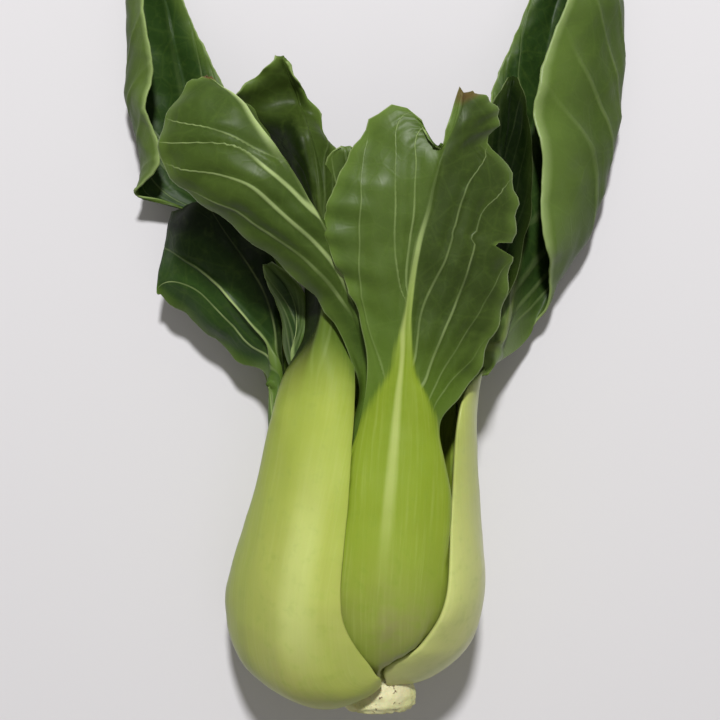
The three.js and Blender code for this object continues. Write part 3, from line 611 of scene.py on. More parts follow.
def keep_settled(inner, u):
    """Remembers the inner face of a stalk, for the leaves inside it."""
    part = inner[u < NECK + 0.3][::2, ::2]
    long, wide = part.shape[:2]
    faces = [
        (i * wide + j, (i + 1) * wide + j, (i + 1) * wide + j + 1, i * wide + j + 1)
        for i in range(long - 1) for j in range(wide - 1)
    ]
    SETTLED.append((BVHTree.FromPolygons(part.reshape(-1, 3).tolist(), faces), wide - 1))


# ---------------------------------------------------------------- margins, veins and thickness

TOOTH = 0.55  # how far a margin goes in and out
FULL_TOOTH = 8  # half width of a leaf from which its margins go in and out that far
TOOTH_SEEDS = (1, 40)  # keep the two margins of a leaf from going in and out alike
NOTCH_LENGTH = 0.09  # half length of a notch in a margin, in sections
VEIN_GAP = 0.04  # least gap between two side veins, as a share of the half width
VEIN_BEYOND = 0.3  # gap to where one more vein would run past the first and the last
VEIN_EVENINGS = 10  # how many times the course of a side vein is evened out
VEIN_SLOPE = 0.5  # how steeply a side vein is drawn on past its two ends
CLOSEST_VEINS = 1.2  # side veins are never counted as closer than this
WIDE_SWELL = 9  # distance between veins from which the blade swells fully between them
CRUMPLED = 4  # every fourth row and column is given its own crumpling
CRUMPLE_FINENESS = 0.16  # how quickly it changes over the leaf
EDGE_SPAN = 0.04  # outermost share of the half width, where the edge is rounded
MIDRIB = 2.2  # thickness of a midrib just past the neck
MIDRIB_WIDTH = 0.42  # its half width at the neck, as a share of the stalk's
MIDRIB_END = 0.7  # its half width at its end
BARE = (4.5, 6, 0.6)  # sections where the pale skin starts and stops to narrow, and to how much
LEAST_BARE = 0.6  # least half width of the pale skin
SKIN_UNIT = 10  # length of one unit of the skin's own map


def ragged(seed, u, size):
    """Small in-and-out of a margin: long waves, and weaker short ones."""
    return np.array([
        noise.noise(Vector((x * 2.3, seed * 7.1, 0))) + 0.6 * noise.noise(Vector((x * 6.7, seed, 5)))
        for x in u
    ]) * size


def margin_wave(grid, grown):
    """How far the wave of its margins lifts a leaf."""
    height, turns, phase = grid.leaf["wave"]
    return height * grown * grid.size**2.5 * np.sin(2 * math.pi * turns * grid.along + phase * grid.sign)


def cut_margins(grid, points, grown):
    """Gives the margins of a leaf their small in-and-out, and a notch where it has one."""
    tooth = grid.by_side([ragged(grid.seed + seed, grid.u, TOOTH) for seed in TOOTH_SEEDS])
    sideways = unit(np.gradient(points, axis=1)) * grid.sign[..., None]
    toothed = tooth * grown * grid.size**6 * np.minimum(1, grid.wide / FULL_TOOTH)
    points = points + sideways * toothed[..., None]
    if "notch" in grid.leaf:
        at, depth = grid.leaf["notch"]
        beside = np.exp(-(((grid.along - at) / NOTCH_LENGTH) ** 2))
        points = points - sideways * (depth * beside * (grid.t[None, :] > 0) * grid.size**3)[..., None]
    return points


def vein_course(curves, u, t):
    """Which side vein a point lies on, as a number that is whole on each vein, and how far apart
    the veins are there, as a share of the half width."""
    course = np.zeros((len(u), len(t)))
    apart = np.zeros((len(u), len(t)))
    paths = []
    for knots in curves:
        at, out = np.array(knots, float).T
        path = np.interp(u, at, out)
        path = np.where(u < at[0], out[0] - VEIN_SLOPE * (at[0] - u), path)
        path = np.where(u > at[-1], out[-1] + VEIN_SLOPE * (u - at[-1]), path)
        paths.append(path if not paths else np.minimum(path, paths[-1] - VEIN_GAP))
    paths = np.array(paths)
    for _ in range(VEIN_EVENINGS):
        paths[:, 1:-1] = (paths[:, :-2] + 2 * paths[:, 1:-1] + paths[:, 2:]) / 4
    ends = np.concatenate([paths[:1] + VEIN_BEYOND, paths, paths[-1:] - VEIN_BEYOND])
    numbers = np.arange(len(ends), dtype=float)[::-1]
    for row in range(len(u)):
        rising = ends[::-1, row]
        course[row] = np.interp(t, rising, numbers)
        apart[row] = np.interp(t, rising, np.gradient(rising))
    return course, apart


def side_veins(grid):
    """The course of the side veins over a leaf, how many of their own widths apart they run, how
    much of them shows, and how the blade swells between them."""
    course, apart = np.zeros_like(grid.along), np.zeros_like(grid.along)
    sides = grid.leaf["veins"]
    for veins, chosen in zip(sides, (grid.t < 0, grid.t >= 0)):
        course[:, chosen], apart[:, chosen] = vein_course(veins, grid.u, np.abs(grid.t[chosen]))
    spacing = np.maximum(apart * grid.wide, CLOSEST_VEINS)
    taper = blend(0.85, 0.32, step(grid.along, NECK, grid.last)) * blend(1, 0.6, grid.size)

    count = grid.by_side([len(veins) for veins in sides])
    nearest = np.clip(np.round(course).astype(int), 0, count + 1)
    shown = []
    for veins, lights in zip(sides, grid.leaf.get("light", [[1] * len(veins) for veins in sides])):
        strength = np.take([0, *lights, 0, 0], nearest, mode="clip")
        begin = np.take([0, *(knots[0][0] for knots in veins), 0, 0], nearest, mode="clip")
        shown.append(strength * step(grid.along - begin, -0.5, 0.1))
    swell = np.sin(math.pi * np.clip(course, 0.5, count + 0.5)) ** 2 * np.minimum(spacing / WIDE_SWELL, 1)
    return course, spacing / taper, grid.by_side(shown), swell


def crumpled(grid, points):
    """Broad unevenness of a leaf, about 0."""
    apart = Vector((grid.seed * 3, 0, 0))
    coarse = [
        [noise.noise(Vector(p) * CRUMPLE_FINENESS + apart) for p in row[::CRUMPLED]]
        for row in points[::CRUMPLED]
    ]
    return filled_in(coarse, CRUMPLED, *points.shape[:2])


def pale_share(grid, wide, wide_at_neck):
    """Half width of the stalk and midrib, as a share of the leaf's own half width."""
    u = grid.u
    rise = np.clip((u - NECK) / (grid.leaf["rib_end"] - NECK), 0, 1)
    half = blend(wide_at_neck * MIDRIB_WIDTH, MIDRIB_END, np.sqrt(rise))
    shoulder = 1 - step(u, NECK, NECK + 0.7)
    share = (half + (wide_at_neck - half) * shoulder) / wide
    return np.where(u <= NECK, 1.0, np.minimum(1, share))


def pale_thickness(grid, s, sizes):
    """Thickness of a stalk, its midrib and the blade beside it."""
    u, end = grid.along, grid.leaf["rib_end"]
    foot = blend(0.45, 1, step(u, 0, 2.5))
    neck = blend(1, 0.62, step(u, 3, NECK))
    middle = blend(grid.leaf["thick"] * foot * neck, MIDRIB, step(u, NECK, NECK + 1.5))
    rib = blend(1, 0.5, step(u, NECK + 1, end)) * (1 - step(u, end - 0.5, end + 1))
    edge = blend(sizes["rim"], sizes["blade"], step(u, 4, 5.5))
    return edge + np.maximum(middle * rib - edge, 0) * (1 - s**2) ** 1.3


def bare_share(grid, crumple):
    """How much of the stalk's pale skin there is at each point, from 1 down to 0 on the blade."""
    u, end = grid.along, grid.leaf["rib_end"]
    whole, slender, slim = grid.leaf.get("bare", BARE)
    half = grid.by_side(grid.half_at_neck)
    half = half * blend(1.9, 0.36 * slim, step(u, whole, slender))
    half = half * blend(1, 0.4, step(u, NECK + 0.8, NECK + 2.4)) * blend(1, 0.5, step(u, NECK + 2, end))
    half = np.maximum(half, LEAST_BARE) * (1 + 0.25 * crumple)
    rib_fade = 1 - 0.8 * step(u, NECK + 1, end + 0.5)
    over = (1 - step(grid.size * grid.wide / half, 0.3, 1.3)) * rib_fade
    return np.maximum(over, 1 - step(u, whole - 0.6, whole + 0.3))


def leaf_surface(name, cell, across, sizes):
    """Outer and inner faces of a leaf in metres, and what its skin needs to know at each point."""
    grid = LeafGrid(name, cell, across)
    u, end = grid.along, grid.leaf["rib_end"]
    points = settle(plain_surface(grid.guides, grid.t), grid.u, grid.t)
    out = outward(points)
    share = grid.by_side([pale_share(grid, *widths) for widths in zip(grid.half, grid.half_at_neck)])
    s = np.minimum(1, grid.size / np.maximum(share, 0.01))

    grown = step(u, NECK + 1, NECK + 2.2)
    points = cut_margins(grid, points, grown)
    course, pull, real, swell = side_veins(grid)
    line = np.exp(-((np.abs(course - np.round(course)) * pull) ** 2)) * real
    bladed = step(u, NECK + 0.1, NECK + 1.2) * step(s, 0.75, 1.05)
    relief = sizes["vein"] * line * bladed
    pucker = sizes["pucker"] * (swell - 0.5) * bladed * (1 - grid.size**4)
    crumple = crumpled(grid, points)
    dent = 0.9 * crumple * step(u, NECK + 0.5, NECK + 2) + 0.25 * crumple * (1 - step(u, NECK, NECK + 1))

    base = points + out * (margin_wave(grid, grown) + pucker + dent)[..., None]
    stand = 0.5 * step(u, 4, 6) * (1 - s**2) * (1 - step(u, end - 1, end + 0.5))
    thickness = pale_thickness(grid, s, sizes)
    rounding = 1 - 0.45 * np.clip((grid.size - (1 - EDGE_SPAN)) / EDGE_SPAN, 0, 1) ** 2
    trim = thickness * (1 - rounding) / 2
    outer = base + out * (stand + relief - trim)[..., None]
    inner = base - out * (thickness - 0.6 * relief - trim)[..., None]
    keep_settled(inner, grid.u)
    for face in (outer, inner):
        face[..., :2] -= MIDDLE
        face[..., 2] = np.maximum(face[..., 2], 0)
        face *= MM

    facts = {
        "pale": bare_share(grid, crumple),
        "vein": course,
        "vein_pull": pull,
        "vein_real": real,
        "rim": np.clip((1 - grid.size) * grid.wide / SKIN_UNIT, 0, 1),
        "climb": np.where(u < NECK, u / NECK, 1 + (u - NECK) / (grid.last - NECK)),
        "side": np.broadcast_to(grid.t[None, :], u.shape),
    }
    spread = grid.t[None, :] * grid.wide
    climbed = np.broadcast_to(travelled(grid.guides[:, 2])[:, None], u.shape)
    skin = np.stack([spread / SKIN_UNIT, climbed / SKIN_UNIT], axis=-1)
    return outer, inner, facts, skin


# ---------------------------------------------------------------- pieces

# From here on, lengths are in metres.


def placed(name, bm):
    """A finished shape as an object of the scene."""
    mesh = bpy.data.meshes.new(name)
    bm.to_mesh(mesh)
    bm.free()
    made = bpy.data.objects.new(name, mesh)
    bpy.context.scene.collection.objects.link(made)
    return made


def leaf_object(name, cell, across, sizes):
    """One closed leaf: a grid given its thickness by extrusion, then laid on the leaf's faces."""
    outer, inner, facts, skin = leaf_surface(name, cell, across, sizes)
    long, wide = outer.shape[:2]
    bm = bmesh.new()
    bmesh.ops.create_grid(bm, x_segments=long - 1, y_segments=wide - 1, size=1)
    made = bmesh.ops.extrude_face_region(bm, geom=bm.faces[:], use_keep_orig=True)
    lifted = {v for v in made["geom"] if isinstance(v, bmesh.types.BMVert)}
    place = np.zeros((len(bm.verts), 3), int)
    bm.verts.index_update()
    for v in bm.verts:
        i = round((v.co.x + 1) / 2 * (long - 1))
        j = round((v.co.y + 1) / 2 * (wide - 1))
        on_top = v in lifted
        place[v.index] = (i, j, on_top)
        v.co = (outer if on_top else inner)[i, j]
    bmesh.ops.recalc_face_normals(bm, faces=bm.faces[:])
    if bm.calc_volume(signed=True) < 0:
        bmesh.ops.reverse_faces(bm, faces=bm.faces[:])
    if any(not e.is_manifold for e in bm.edges):
        raise RuntimeError(f"{name} isn't closed")
    for f in bm.faces:
        f.smooth = True
        f.material_index = 0 if any(place[v.index][2] for v in f.verts) else 1
    piece = placed(name, bm)
    mesh = piece.data
    i, j = place[:, 0], place[:, 1]
    for fact, values in facts.items():
        held = values[i, j].astype(np.float32)
        mesh.attributes.new(fact, "FLOAT", "POINT").data.foreach_set("value", held)
    corners = np.zeros(len(mesh.loops), np.int32)
    mesh.loops.foreach_get("vertex_index", corners)
    uv = skin[i[corners], j[corners]].astype(np.float32)
    mesh.uv_layers.new(name="skin").uv.foreach_set("vector", uv.ravel())
    return piece


STEM_WIDE, STEM_DEEP = 1.04, 0.94  # width and depth of the cut stem, against a round one
STEM_PROFILE = (  # from its cut end to where the leaves leave it: share of its radius, and of its length
    (0.02, 0), (0.5, 0.05), (0.84, 0), (0.98, 0.1), (1, 0.28), (0.86, 0.55), (0.5, 0.88), (0.02, 1),
)
STEM_STEPS = 72  # steps of one turn of the stem
STEM_CUTS = 5  # points added between each two of its profile
STEM_BUMPS = ((260, 0.0007), (900, 0.00025))  # fineness and height of its broad and its fine bumps
CUT_DEPTH = 0.0015  # how far from the cut end the knife's marks are
CUT_MARKS = (700, 0.0006)  # their fineness and height


def stem_object(name, low, high):
    """The cut stem between two corners: turned about its length, then roughened and flattened."""
    centre = (low + high) / 2
    radius = (high.x - low.x) / 2 / STEM_WIDE
    bm = bmesh.new()
    ring = [bm.verts.new((r * radius, low.y + s * (high.y - low.y), 0)) for r, s in STEM_PROFILE]
    for a, b in zip(ring, ring[1:]):
        bm.edges.new((a, b))
    bmesh.ops.subdivide_edges(bm, edges=bm.edges[:], cuts=STEM_CUTS)
    bmesh.ops.spin(
        bm, geom=bm.verts[:] + bm.edges[:], cent=(0, 0, 0), axis=(0, 1, 0), angle=math.tau,
        steps=STEM_STEPS, use_merge=True,
    )
    bmesh.ops.holes_fill(bm, edges=[e for e in bm.edges if e.is_boundary])
    bmesh.ops.remove_doubles(bm, verts=bm.verts[:], dist=1e-6)
    for v in bm.verts:
        out = Vector((v.co.x, 0, v.co.z))
        bump = sum(noise.noise(v.co * fineness) * height for fineness, height in STEM_BUMPS)
        v.co += (out.normalized() if out.length > 1e-5 else Vector((0, -1, 0))) * bump
        if v.co.y < low.y + CUT_DEPTH:
            v.co.y = max(low.y, v.co.y + noise.noise(v.co * CUT_MARKS[0]) * CUT_MARKS[1])
        v.co.x = v.co.x * STEM_WIDE + centre.x
        v.co.z = v.co.z * STEM_DEEP + centre.z
    bmesh.ops.recalc_face_normals(bm, faces=bm.faces[:])
    for f in bm.faces:
        f.smooth = True
    return placed(name, bm)


# ---------------------------------------------------------------- finishes

# How much of a colour's red, green and blue is left where the skin is deeper than elsewhere, or where shade
# is painted onto it.
RIM_SHADE_PAINTED = (0.5, 0.58, 0.4)  # painted shade on a stalk towards its rims, where it turns away from the light
GREENED = (0.48, 0.57, 0.27)  # a stalk towards its neck
BANDED = (0.72, 0.76, 0.6)  # the long bands of a stalk
CLOUDED = (0.7, 0.78, 0.6)  # its broad patches
GRAINED = (0.68, 0.76, 0.6)  # its fine grain
LEAFY = (0.62, 0.7, 0.6)  # the broad patches of a blade
FRESH = (0.32, 0.46, 0.25)  # the foot of a blade, which takes the colour of its stalk
FOLD_SHADE_PAINTED = (0.14, 0.17, 0.12)  # painted shade inside a folded blade, next to the leaf above it


class Tree:
    """Adds shader nodes to one tree and joins them."""

    def __init__(self, tree):
        self.tree = tree

    def add(self, kind, inputs=None, **settings):
        made = self.tree.nodes.new(kind)
        for name, value in settings.items():
            setattr(made, name, value)
        for name, value in (inputs or {}).items():
            self.feed(made.inputs[name], value)
        return made

    def feed(self, socket, value):
        if isinstance(value, bpy.types.NodeSocket):
            self.tree.links.new(value, socket)
        elif value is not None:
            if socket.type == "RGBA" and len(value) == 3:
                value = (*value, 1)
            socket.default_value = value

    def math(self, operation, first, second=None):
        made = self.add("ShaderNodeMath", operation=operation)
        self.feed(made.inputs[0], first)
        self.feed(made.inputs[1], second)
        return made.outputs[0]

    def plus(self, first, second):
        return self.math("ADD", first, second)

    def minus(self, first, second):
        return self.math("SUBTRACT", first, second)

    def times(self, first, second):
        return self.math("MULTIPLY", first, second)

    def absolute(self, value):
        return self.math("ABSOLUTE", value)

    def range(self, value, low, high, start=0.0, end=1.0):
        """Smooth change from start, where the value is low, to end, where it is high."""
        return self.add("ShaderNodeMapRange", {
            "Value": value, "From Min": low, "From Max": high, "To Min": start, "To Max": end,
        }, interpolation_type="SMOOTHSTEP").outputs["Result"]

    def mix(self, share, first, second, kind="MIX"):
        made = self.add("ShaderNodeMix", data_type="RGBA", blend_type=kind)
        made.clamp_factor = True
        self.feed(made.inputs[0], share)
        self.feed(made.inputs[6], first)
        self.feed(made.inputs[7], second)
        return made.outputs[2]

    def fact(self, name):
        """A value that the leaf holds at each of its points."""
        return self.add("ShaderNodeAttribute", attribute_type="GEOMETRY", attribute_name=name).outputs["Fac"]

    def where(self):
        """The place of a point in its object, in metres."""
        return self.add("ShaderNodeTexCoord").outputs["Object"]

    def clouds(self, where, scale, detail):
        """Cloudy unevenness about a half."""
        made = self.add("ShaderNodeTexNoise", {"Vector": where, "Scale": scale, "Detail": detail})
        return made.outputs["Fac"]

    def net(self, where, scale, width):
        """Lines of a net: 1 on the lines and 0 off them."""
        place = {"Vector": where, "Scale": scale}
        cells = self.add("ShaderNodeTexVoronoi", place, feature="DISTANCE_TO_EDGE")
        return self.range(cells.outputs["Distance"], 0.0, width, 1.0, 0.0)

    def surface(self, inputs):
        """Ends a material in its one shader."""
        shader = self.add("ShaderNodeBsdfPrincipled", inputs)
        self.add("ShaderNodeOutputMaterial", {"Surface": shader.outputs["BSDF"]})


def empty_material(name):
    """A material without nodes, and its tree."""
    made = bpy.data.materials.new(name)
    made.use_nodes = True
    made.node_tree.nodes.clear()
    return made, Tree(made.node_tree)


def group(name, inputs, outputs):
    """A named group of shader nodes, whose inputs and outputs are all single numbers."""
    tree = bpy.data.node_groups.new(name, "ShaderNodeTree")
    for socket, default in inputs.items():
        made = tree.interface.new_socket(name=socket, in_out="INPUT", socket_type="NodeSocketFloat")
        made.default_value = default
    for socket in outputs:
        tree.interface.new_socket(name=socket, in_out="OUTPUT", socket_type="NodeSocketFloat")
    t = Tree(tree)
    return t, t.add("NodeGroupInput").outputs, t.add("NodeGroupOutput").inputs


def vein_lines():
    """Masks of the side veins, from the leaf's own vein course, and of the net between them."""
    t, given, result = group("vein lines", {"Width": 1.0, "Branches": 0.35}, ("Veins", "Net"))
    course, pull, real = t.fact("vein"), t.fact("vein_pull"), t.fact("vein_real")
    where = t.where()
    wandered = t.plus(course, t.times(t.minus(t.clouds(where, 60.0, 1.0), 0.5), 0.1))
    away = t.absolute(t.minus(wandered, t.math("ROUND", wandered)))
    width = t.times(given["Width"], t.plus(t.times(real, 0.55), 0.45))
    near = t.math("DIVIDE", t.times(away, pull), width)
    lasting = t.times(real, t.range(t.clouds(where, 75.0, 2.0), 0.35, 0.6, 0.45, 1.0))
    ending = t.times(lasting, t.range(t.fact("rim"), 0.0, 0.45, 0.15, 1.0))
    t.feed(result["Veins"], t.times(t.range(near, 0.3, 1.3, 1.0, 0.0), ending))
    fine, wide = t.net(where, 260.0, 0.09), t.net(where, 95.0, 0.05)
    t.feed(result["Net"], t.times(t.math("MAXIMUM", t.times(fine, 0.6), wide), given["Branches"]))
    return t.tree


def mottling():
    """Broad and fine unevenness of the skin's colour."""
    t, given, result = group("mottling", {"Broad": 40.0, "Fine": 400.0}, ("Broad", "Fine"))
    where = t.where()
    t.feed(result["Broad"], t.clouds(where, given["Broad"], 3.0))
    t.feed(result["Fine"], t.clouds(where, given["Fine"], 4.0))
    return t.tree


def stalk_fibres():
    """Long fine streaks that run up a stalk, and slow bands beside them."""
    t, given, result = group("stalk fibres", {"Spread": 9.0}, ("Streaks", "Bands"))
    skin = t.add("ShaderNodeUVMap", uv_map="skin").outputs["UV"]
    across, up = t.add("ShaderNodeSeparateXYZ", {"Vector": skin}).outputs[:2]

    def stretched(spread, pace):
        squeezed = {"X": t.times(across, spread), "Y": t.times(up, pace)}
        return t.add("ShaderNodeCombineXYZ", squeezed).outputs[0]

    t.feed(result["Streaks"], t.clouds(stretched(given["Spread"], 0.35), 1.6, 4.0))
    t.feed(result["Bands"], t.clouds(stretched(1.3, 0.12), 1.0, 1.0))
    return t.tree


def shared(make):
    """A shader group, made the first time that it is asked for."""
    name = make.__name__.replace("_", " ")
    return bpy.data.node_groups.get(name) or make()


def deeper(tint, left):
    """A colour with a share left of its red, its green and its blue."""
    return tuple(part * share for part, share in zip(tint, left))


def dimmed(tint, share):
    """A colour with the same share left of all three."""
    return deeper(tint, (share, share, share))


def leaf_masks(t, look):
    """All that changes over the skin of a leaf: the place on it, its veins and its unevenness."""
    veins = t.add("ShaderNodeGroup", {"Width": look["vein_width"]}, node_tree=shared(vein_lines)).outputs
    spots = t.add("ShaderNodeGroup", node_tree=shared(mottling)).outputs
    fibres = t.add("ShaderNodeGroup", node_tree=shared(stalk_fibres)).outputs
    return SimpleNamespace(
        bare=t.fact("pale"), climb=t.fact("climb"), rim=t.fact("rim"), side=t.fact("side"),
        veins=veins["Veins"], net=veins["Net"], broad=spots["Broad"], fine=spots["Fine"],
        streaks=fibres["Streaks"], bands=fibres["Bands"],
    )


def stalk_skin(t, on, stalk_colour, tones, look):
    """Colour of a stalk: pale at its foot, greener up to its neck, with soft bands and streaks, painted
    shade towards its rims and above its foot, and a pale line up its middle that is partly a painted
    highlight.
    """
    # Painted shade towards the rims, where the stalk turns away from the light.
    uneven = t.times(t.minus(on.broad, 0.5), 0.3)
    rim_shade = t.range(t.plus(t.absolute(on.side), uneven), 0.12, 0.42)
    rim_shade_side = t.range(on.side, -0.05, 0.05, *look["turned"])
    skin = t.mix(t.times(rim_shade, rim_shade_side), stalk_colour, deeper(stalk_colour, RIM_SHADE_PAINTED))
    # Painted shade above the foot, where the stalk curves down away from the light.
    skin = t.mix(t.range(on.climb, 0.45, 0.85, look["low"], 0.0), skin, tones.low)
    skin = t.mix(t.range(on.climb, 0.03, 0.17, look["foot"], 0.0), skin, tones.foot)
    skin = t.mix(t.range(on.climb, 0.45, 1.0, 0.0, 0.9), skin, deeper(stalk_colour, GREENED))
    for mask, low, high, share, left in (
        (on.bands, 0.35, 0.65, 0.5, BANDED),
        (on.broad, 0.4, 0.65, 0.4, CLOUDED),
        (on.fine, 0.42, 0.68, 0.3, GRAINED),
    ):
        skin = t.mix(t.range(mask, low, high, 0.0, share), skin, deeper(stalk_colour, left))

    # A pale line up the middle, partly the stalk's pale middle and partly a painted highlight.
    strength, centre, half, start, full, gone = look["ridge"]
    middle = t.range(t.absolute(t.minus(on.side, centre)), half * 0.15, half, strength, 0.0)
    along = t.times(t.range(on.climb, start, full), t.range(on.climb, gone - 0.25, gone, 1.0, 0.0))
    skin = t.mix(t.times(middle, along), skin, tones.ridge)
    return t.mix(t.range(on.streaks, 0.45, 0.8, 0.0, 0.09), skin, tones.ridge)


def blade_skin(t, on, stalk_colour, blade_colour, tones, look):
    """Colour of a blade: deep green, yellower at its margin, with pale veins, painted light and shade on its
    two sides, a painted highlight along its margin and painted shade inside a folded-over side.
    """
    # Painted light and shade: each side of the blade is made lighter or darker, partly its own tone.
    first, second = (dimmed(blade_colour, share) for share in look["sides"])
    skin = t.mix(t.range(on.side, -0.15, 0.15), first, second)
    skin = t.mix(t.range(on.broad, 0.32, 0.7, 0.0, 0.6), skin, LEAFY, "MULTIPLY")
    skin = t.mix(t.range(on.climb, 1.0, 1.3, 0.5, 0.0), skin, deeper(stalk_colour, FRESH))
    skin = t.mix(t.range(on.rim, 0.0, 0.4, look["edge"], 0.0), skin, tones.margin)
    # A thin pale line along the margin: a painted highlight where the light catches the edge.
    skin = t.mix(t.range(on.rim, 0.0, 0.06, 0.45, 0.0), skin, tones.vein)
    skin = t.mix(t.times(on.net, 0.22 * look["shade"]), skin, tones.margin)
    skin = t.mix(t.times(on.veins, look["vein_light"]), skin, tones.vein)
    # Painted shade, almost black, inside a folded-over side next to the leaf above it.
    if look["fold"]:
        dark, near, full, until = look["fold"]
        folded = t.range(on.side, -full, -near, dark, 0.0)
        inside = t.times(folded, t.range(on.climb, until, until + 0.12, 1.0, 0.0))
        skin = t.mix(inside, skin, deeper(blade_colour, FOLD_SHADE_PAINTED))
    if look["crease"]:
        creased = t.times(t.range(t.absolute(on.side), 0.0, 0.09, 1.0, 0.0), t.range(on.climb, 1.52, 1.66))
        skin = t.mix(creased, skin, tones.vein)
    return skin


def leaf_material(name, stalk_colour, blade_colour, tones, look, roughness):
    """Skin of one side of a leaf, pale on its stalk and green on its blade."""
    made, t = empty_material(name)
    on = leaf_masks(t, look)
    pale = t.range(t.plus(on.bare, t.times(t.minus(on.streaks, 0.5), 0.7)), 0.1, 0.85)
    stalk_tone = stalk_skin(t, on, stalk_colour, tones, look)
    rib_tone = t.mix(t.range(on.climb, 1.05, 1.5), stalk_tone, tones.vein)
    blade_tone = blade_skin(t, on, stalk_colour, blade_colour, tones, look)
    shown = t.times(pale, t.range(on.climb, *look["fade"], 1.0, look["rib"]))
    skin = t.mix(shown, blade_tone, rib_tone)
    skin = t.mix(t.range(on.fine, 0.5, 0.85, 0.0, 0.16 * look["shade"]), skin, tones.margin)
    if look["scorch"]:
        skin = t.mix(t.range(on.climb, 1.95, 1.985, 0.0, look["scorch"]), skin, tones.scorch)

    dull = t.times(t.plus(t.times(pale, -0.1), roughness), t.range(on.broad, 0.2, 0.8, 0.85, 1.2))
    raised = t.times(t.plus(t.times(on.veins, 0.5), t.times(on.net, 0.3)), t.minus(1.0, pale))
    height = t.plus(raised, t.times(on.streaks, t.times(pale, 0.3)))
    bump = t.add("ShaderNodeBump", {"Height": height, "Strength": 0.35, "Distance": 0.0005})
    t.surface({
        "Base Color": skin, "Roughness": dull, "Normal": bump.outputs["Normal"], "IOR": 1.4,
        "Specular IOR Level": look["shine"], "Subsurface Weight": 0.1, "Subsurface Scale": 0.0015,
        "Subsurface Radius": (0.6, 1.0, 0.3),
    })
    return made


def stem_material(tones):
    """Cut flesh, cream with brown specks."""
    made, t = empty_material("cut stem flesh")
    spots = t.add("ShaderNodeGroup", {"Broad": 120.0, "Fine": 900.0}, node_tree=shared(mottling)).outputs
    flesh = t.mix(t.range(spots["Broad"], 0.35, 0.7), tones.cut, tones.foot)
    specks = t.mix(t.range(spots["Fine"], 0.62, 0.7, 0.0, 0.9), flesh, tones.scorch)
    bump = t.add("ShaderNodeBump", {"Height": spots["Fine"], "Strength": 0.5, "Distance": 0.0006})
    t.surface({
        "Base Color": specks, "Roughness": t.range(spots["Broad"], 0.2, 0.8, 0.5, 0.75),
        "Normal": bump.outputs["Normal"], "Subsurface Weight": 0.1, "Subsurface Scale": 0.002,
    })
    return made


# ---------------------------------------------------------------- leaves with their skins

# How the skin of a leaf can differ from the others'. A place along it goes from 0 at its foot over 1
# at its neck to 2 at its tip, and a place across it from -1 to 1, as t does.
LOOK = {
    "foot": 1.0,  # paleness of the very foot of the stalk
    "low": 0.55,  # painted shade: how much the stalk above its foot darkens and greys, where it curves down away from the light
    "turned": (0.8, 0.8),  # painted shade: how much darker the stalk gets towards its first and its second rim, where it turns away from the light
    # Pale line up the stalk, partly its pale middle and partly a painted highlight: strength, place and half
    # width across, then the places along it where it starts, where it is full and where it has gone.
    "ridge": (0.0, 0.0, 0.1, 0.6, 0.9, 3.0),
    "fade": (1.0, 1.2),  # places along which the stalk's colour fades to that of the midrib
    "rib": 1.0,  # paleness of the midrib beyond that
    "vein_width": 0.6,  # width of the side veins
    "vein_light": 0.5,  # paleness of the side veins
    "edge": 0.5,  # yellowness of the blade near its margin
    "shade": 1.0,  # lightness of the blade; a low value paints shade over it
    "sides": (1.0, 1.0),  # lightness of the first and the second side of the blade: partly its own tone, partly painted light and shade for how the light falls on each side
    # Painted shade inside a side that is folded over, next to the leaf above it: strength, places across,
    # counted from the midrib, where it starts and is full, and the place along where it ends.
    "fold": (),
    "crease": False,  # whether the midrib is a pale crease near the tip
    "scorch": 0.0,  # brownness of the tip
    "shine": 0.3,  # strength of the skin's reflections
}
ROUGHNESS = {"outer": 0.42, "inner": 0.4}


def leaf_sizes():
    """The sizes that a user can change, in millimetres."""
    given = bpy.context.scene.bok_choy_sizes
    return {
        "blade": given.blade_thickness / MM,
        "rim": given.rim_thickness / MM,
        "vein": given.vein_height / MM,
        "pucker": given.pucker_height / MM,
    }


def dress(name, stalk_tone, across, cell_share=1.0, **changes):
    """Builds one leaf with its number of columns across, gives it its skin and puts it in place of
    its two solids."""
    scene = bpy.context.scene
    tones = scene.bok_choy_colours
    look = {**LOOK, **changes}
    piece = leaf_object(name, scene.bok_choy_sizes.facet / MM * cell_share, across, leaf_sizes())
    stalk_colour = tuple(getattr(tones, stalk_tone))
    for side, blade_tone in (("outer", tones.blade_back), ("inner", tones.blade_face)):
        blade_colour = dimmed(blade_tone, look["shade"])
        skin = leaf_material(f"{name} {side} skin", stalk_colour, blade_colour, tones, look, ROUGHNESS[side])
        piece.data.materials.append(skin)
    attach(piece, "root")
    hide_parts(f"{name}_stalk", f"{name}_blade")


# ---------------------------------------------------------------- operators


class BOKCHOY_OT_stem(bpy.types.Operator):
    """Turn the cut stem that carries the leaves"""

    bl_idname = "bokchoy.stem"
    bl_label = "Cut stem"

    def execute(self, context):
        piece = stem_object("cut_stem", *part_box("stem"))
        piece.data.materials.append(stem_material(context.scene.bok_choy_colours))
        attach(piece, "root")
        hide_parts("stem")
        return {"FINISHED"}


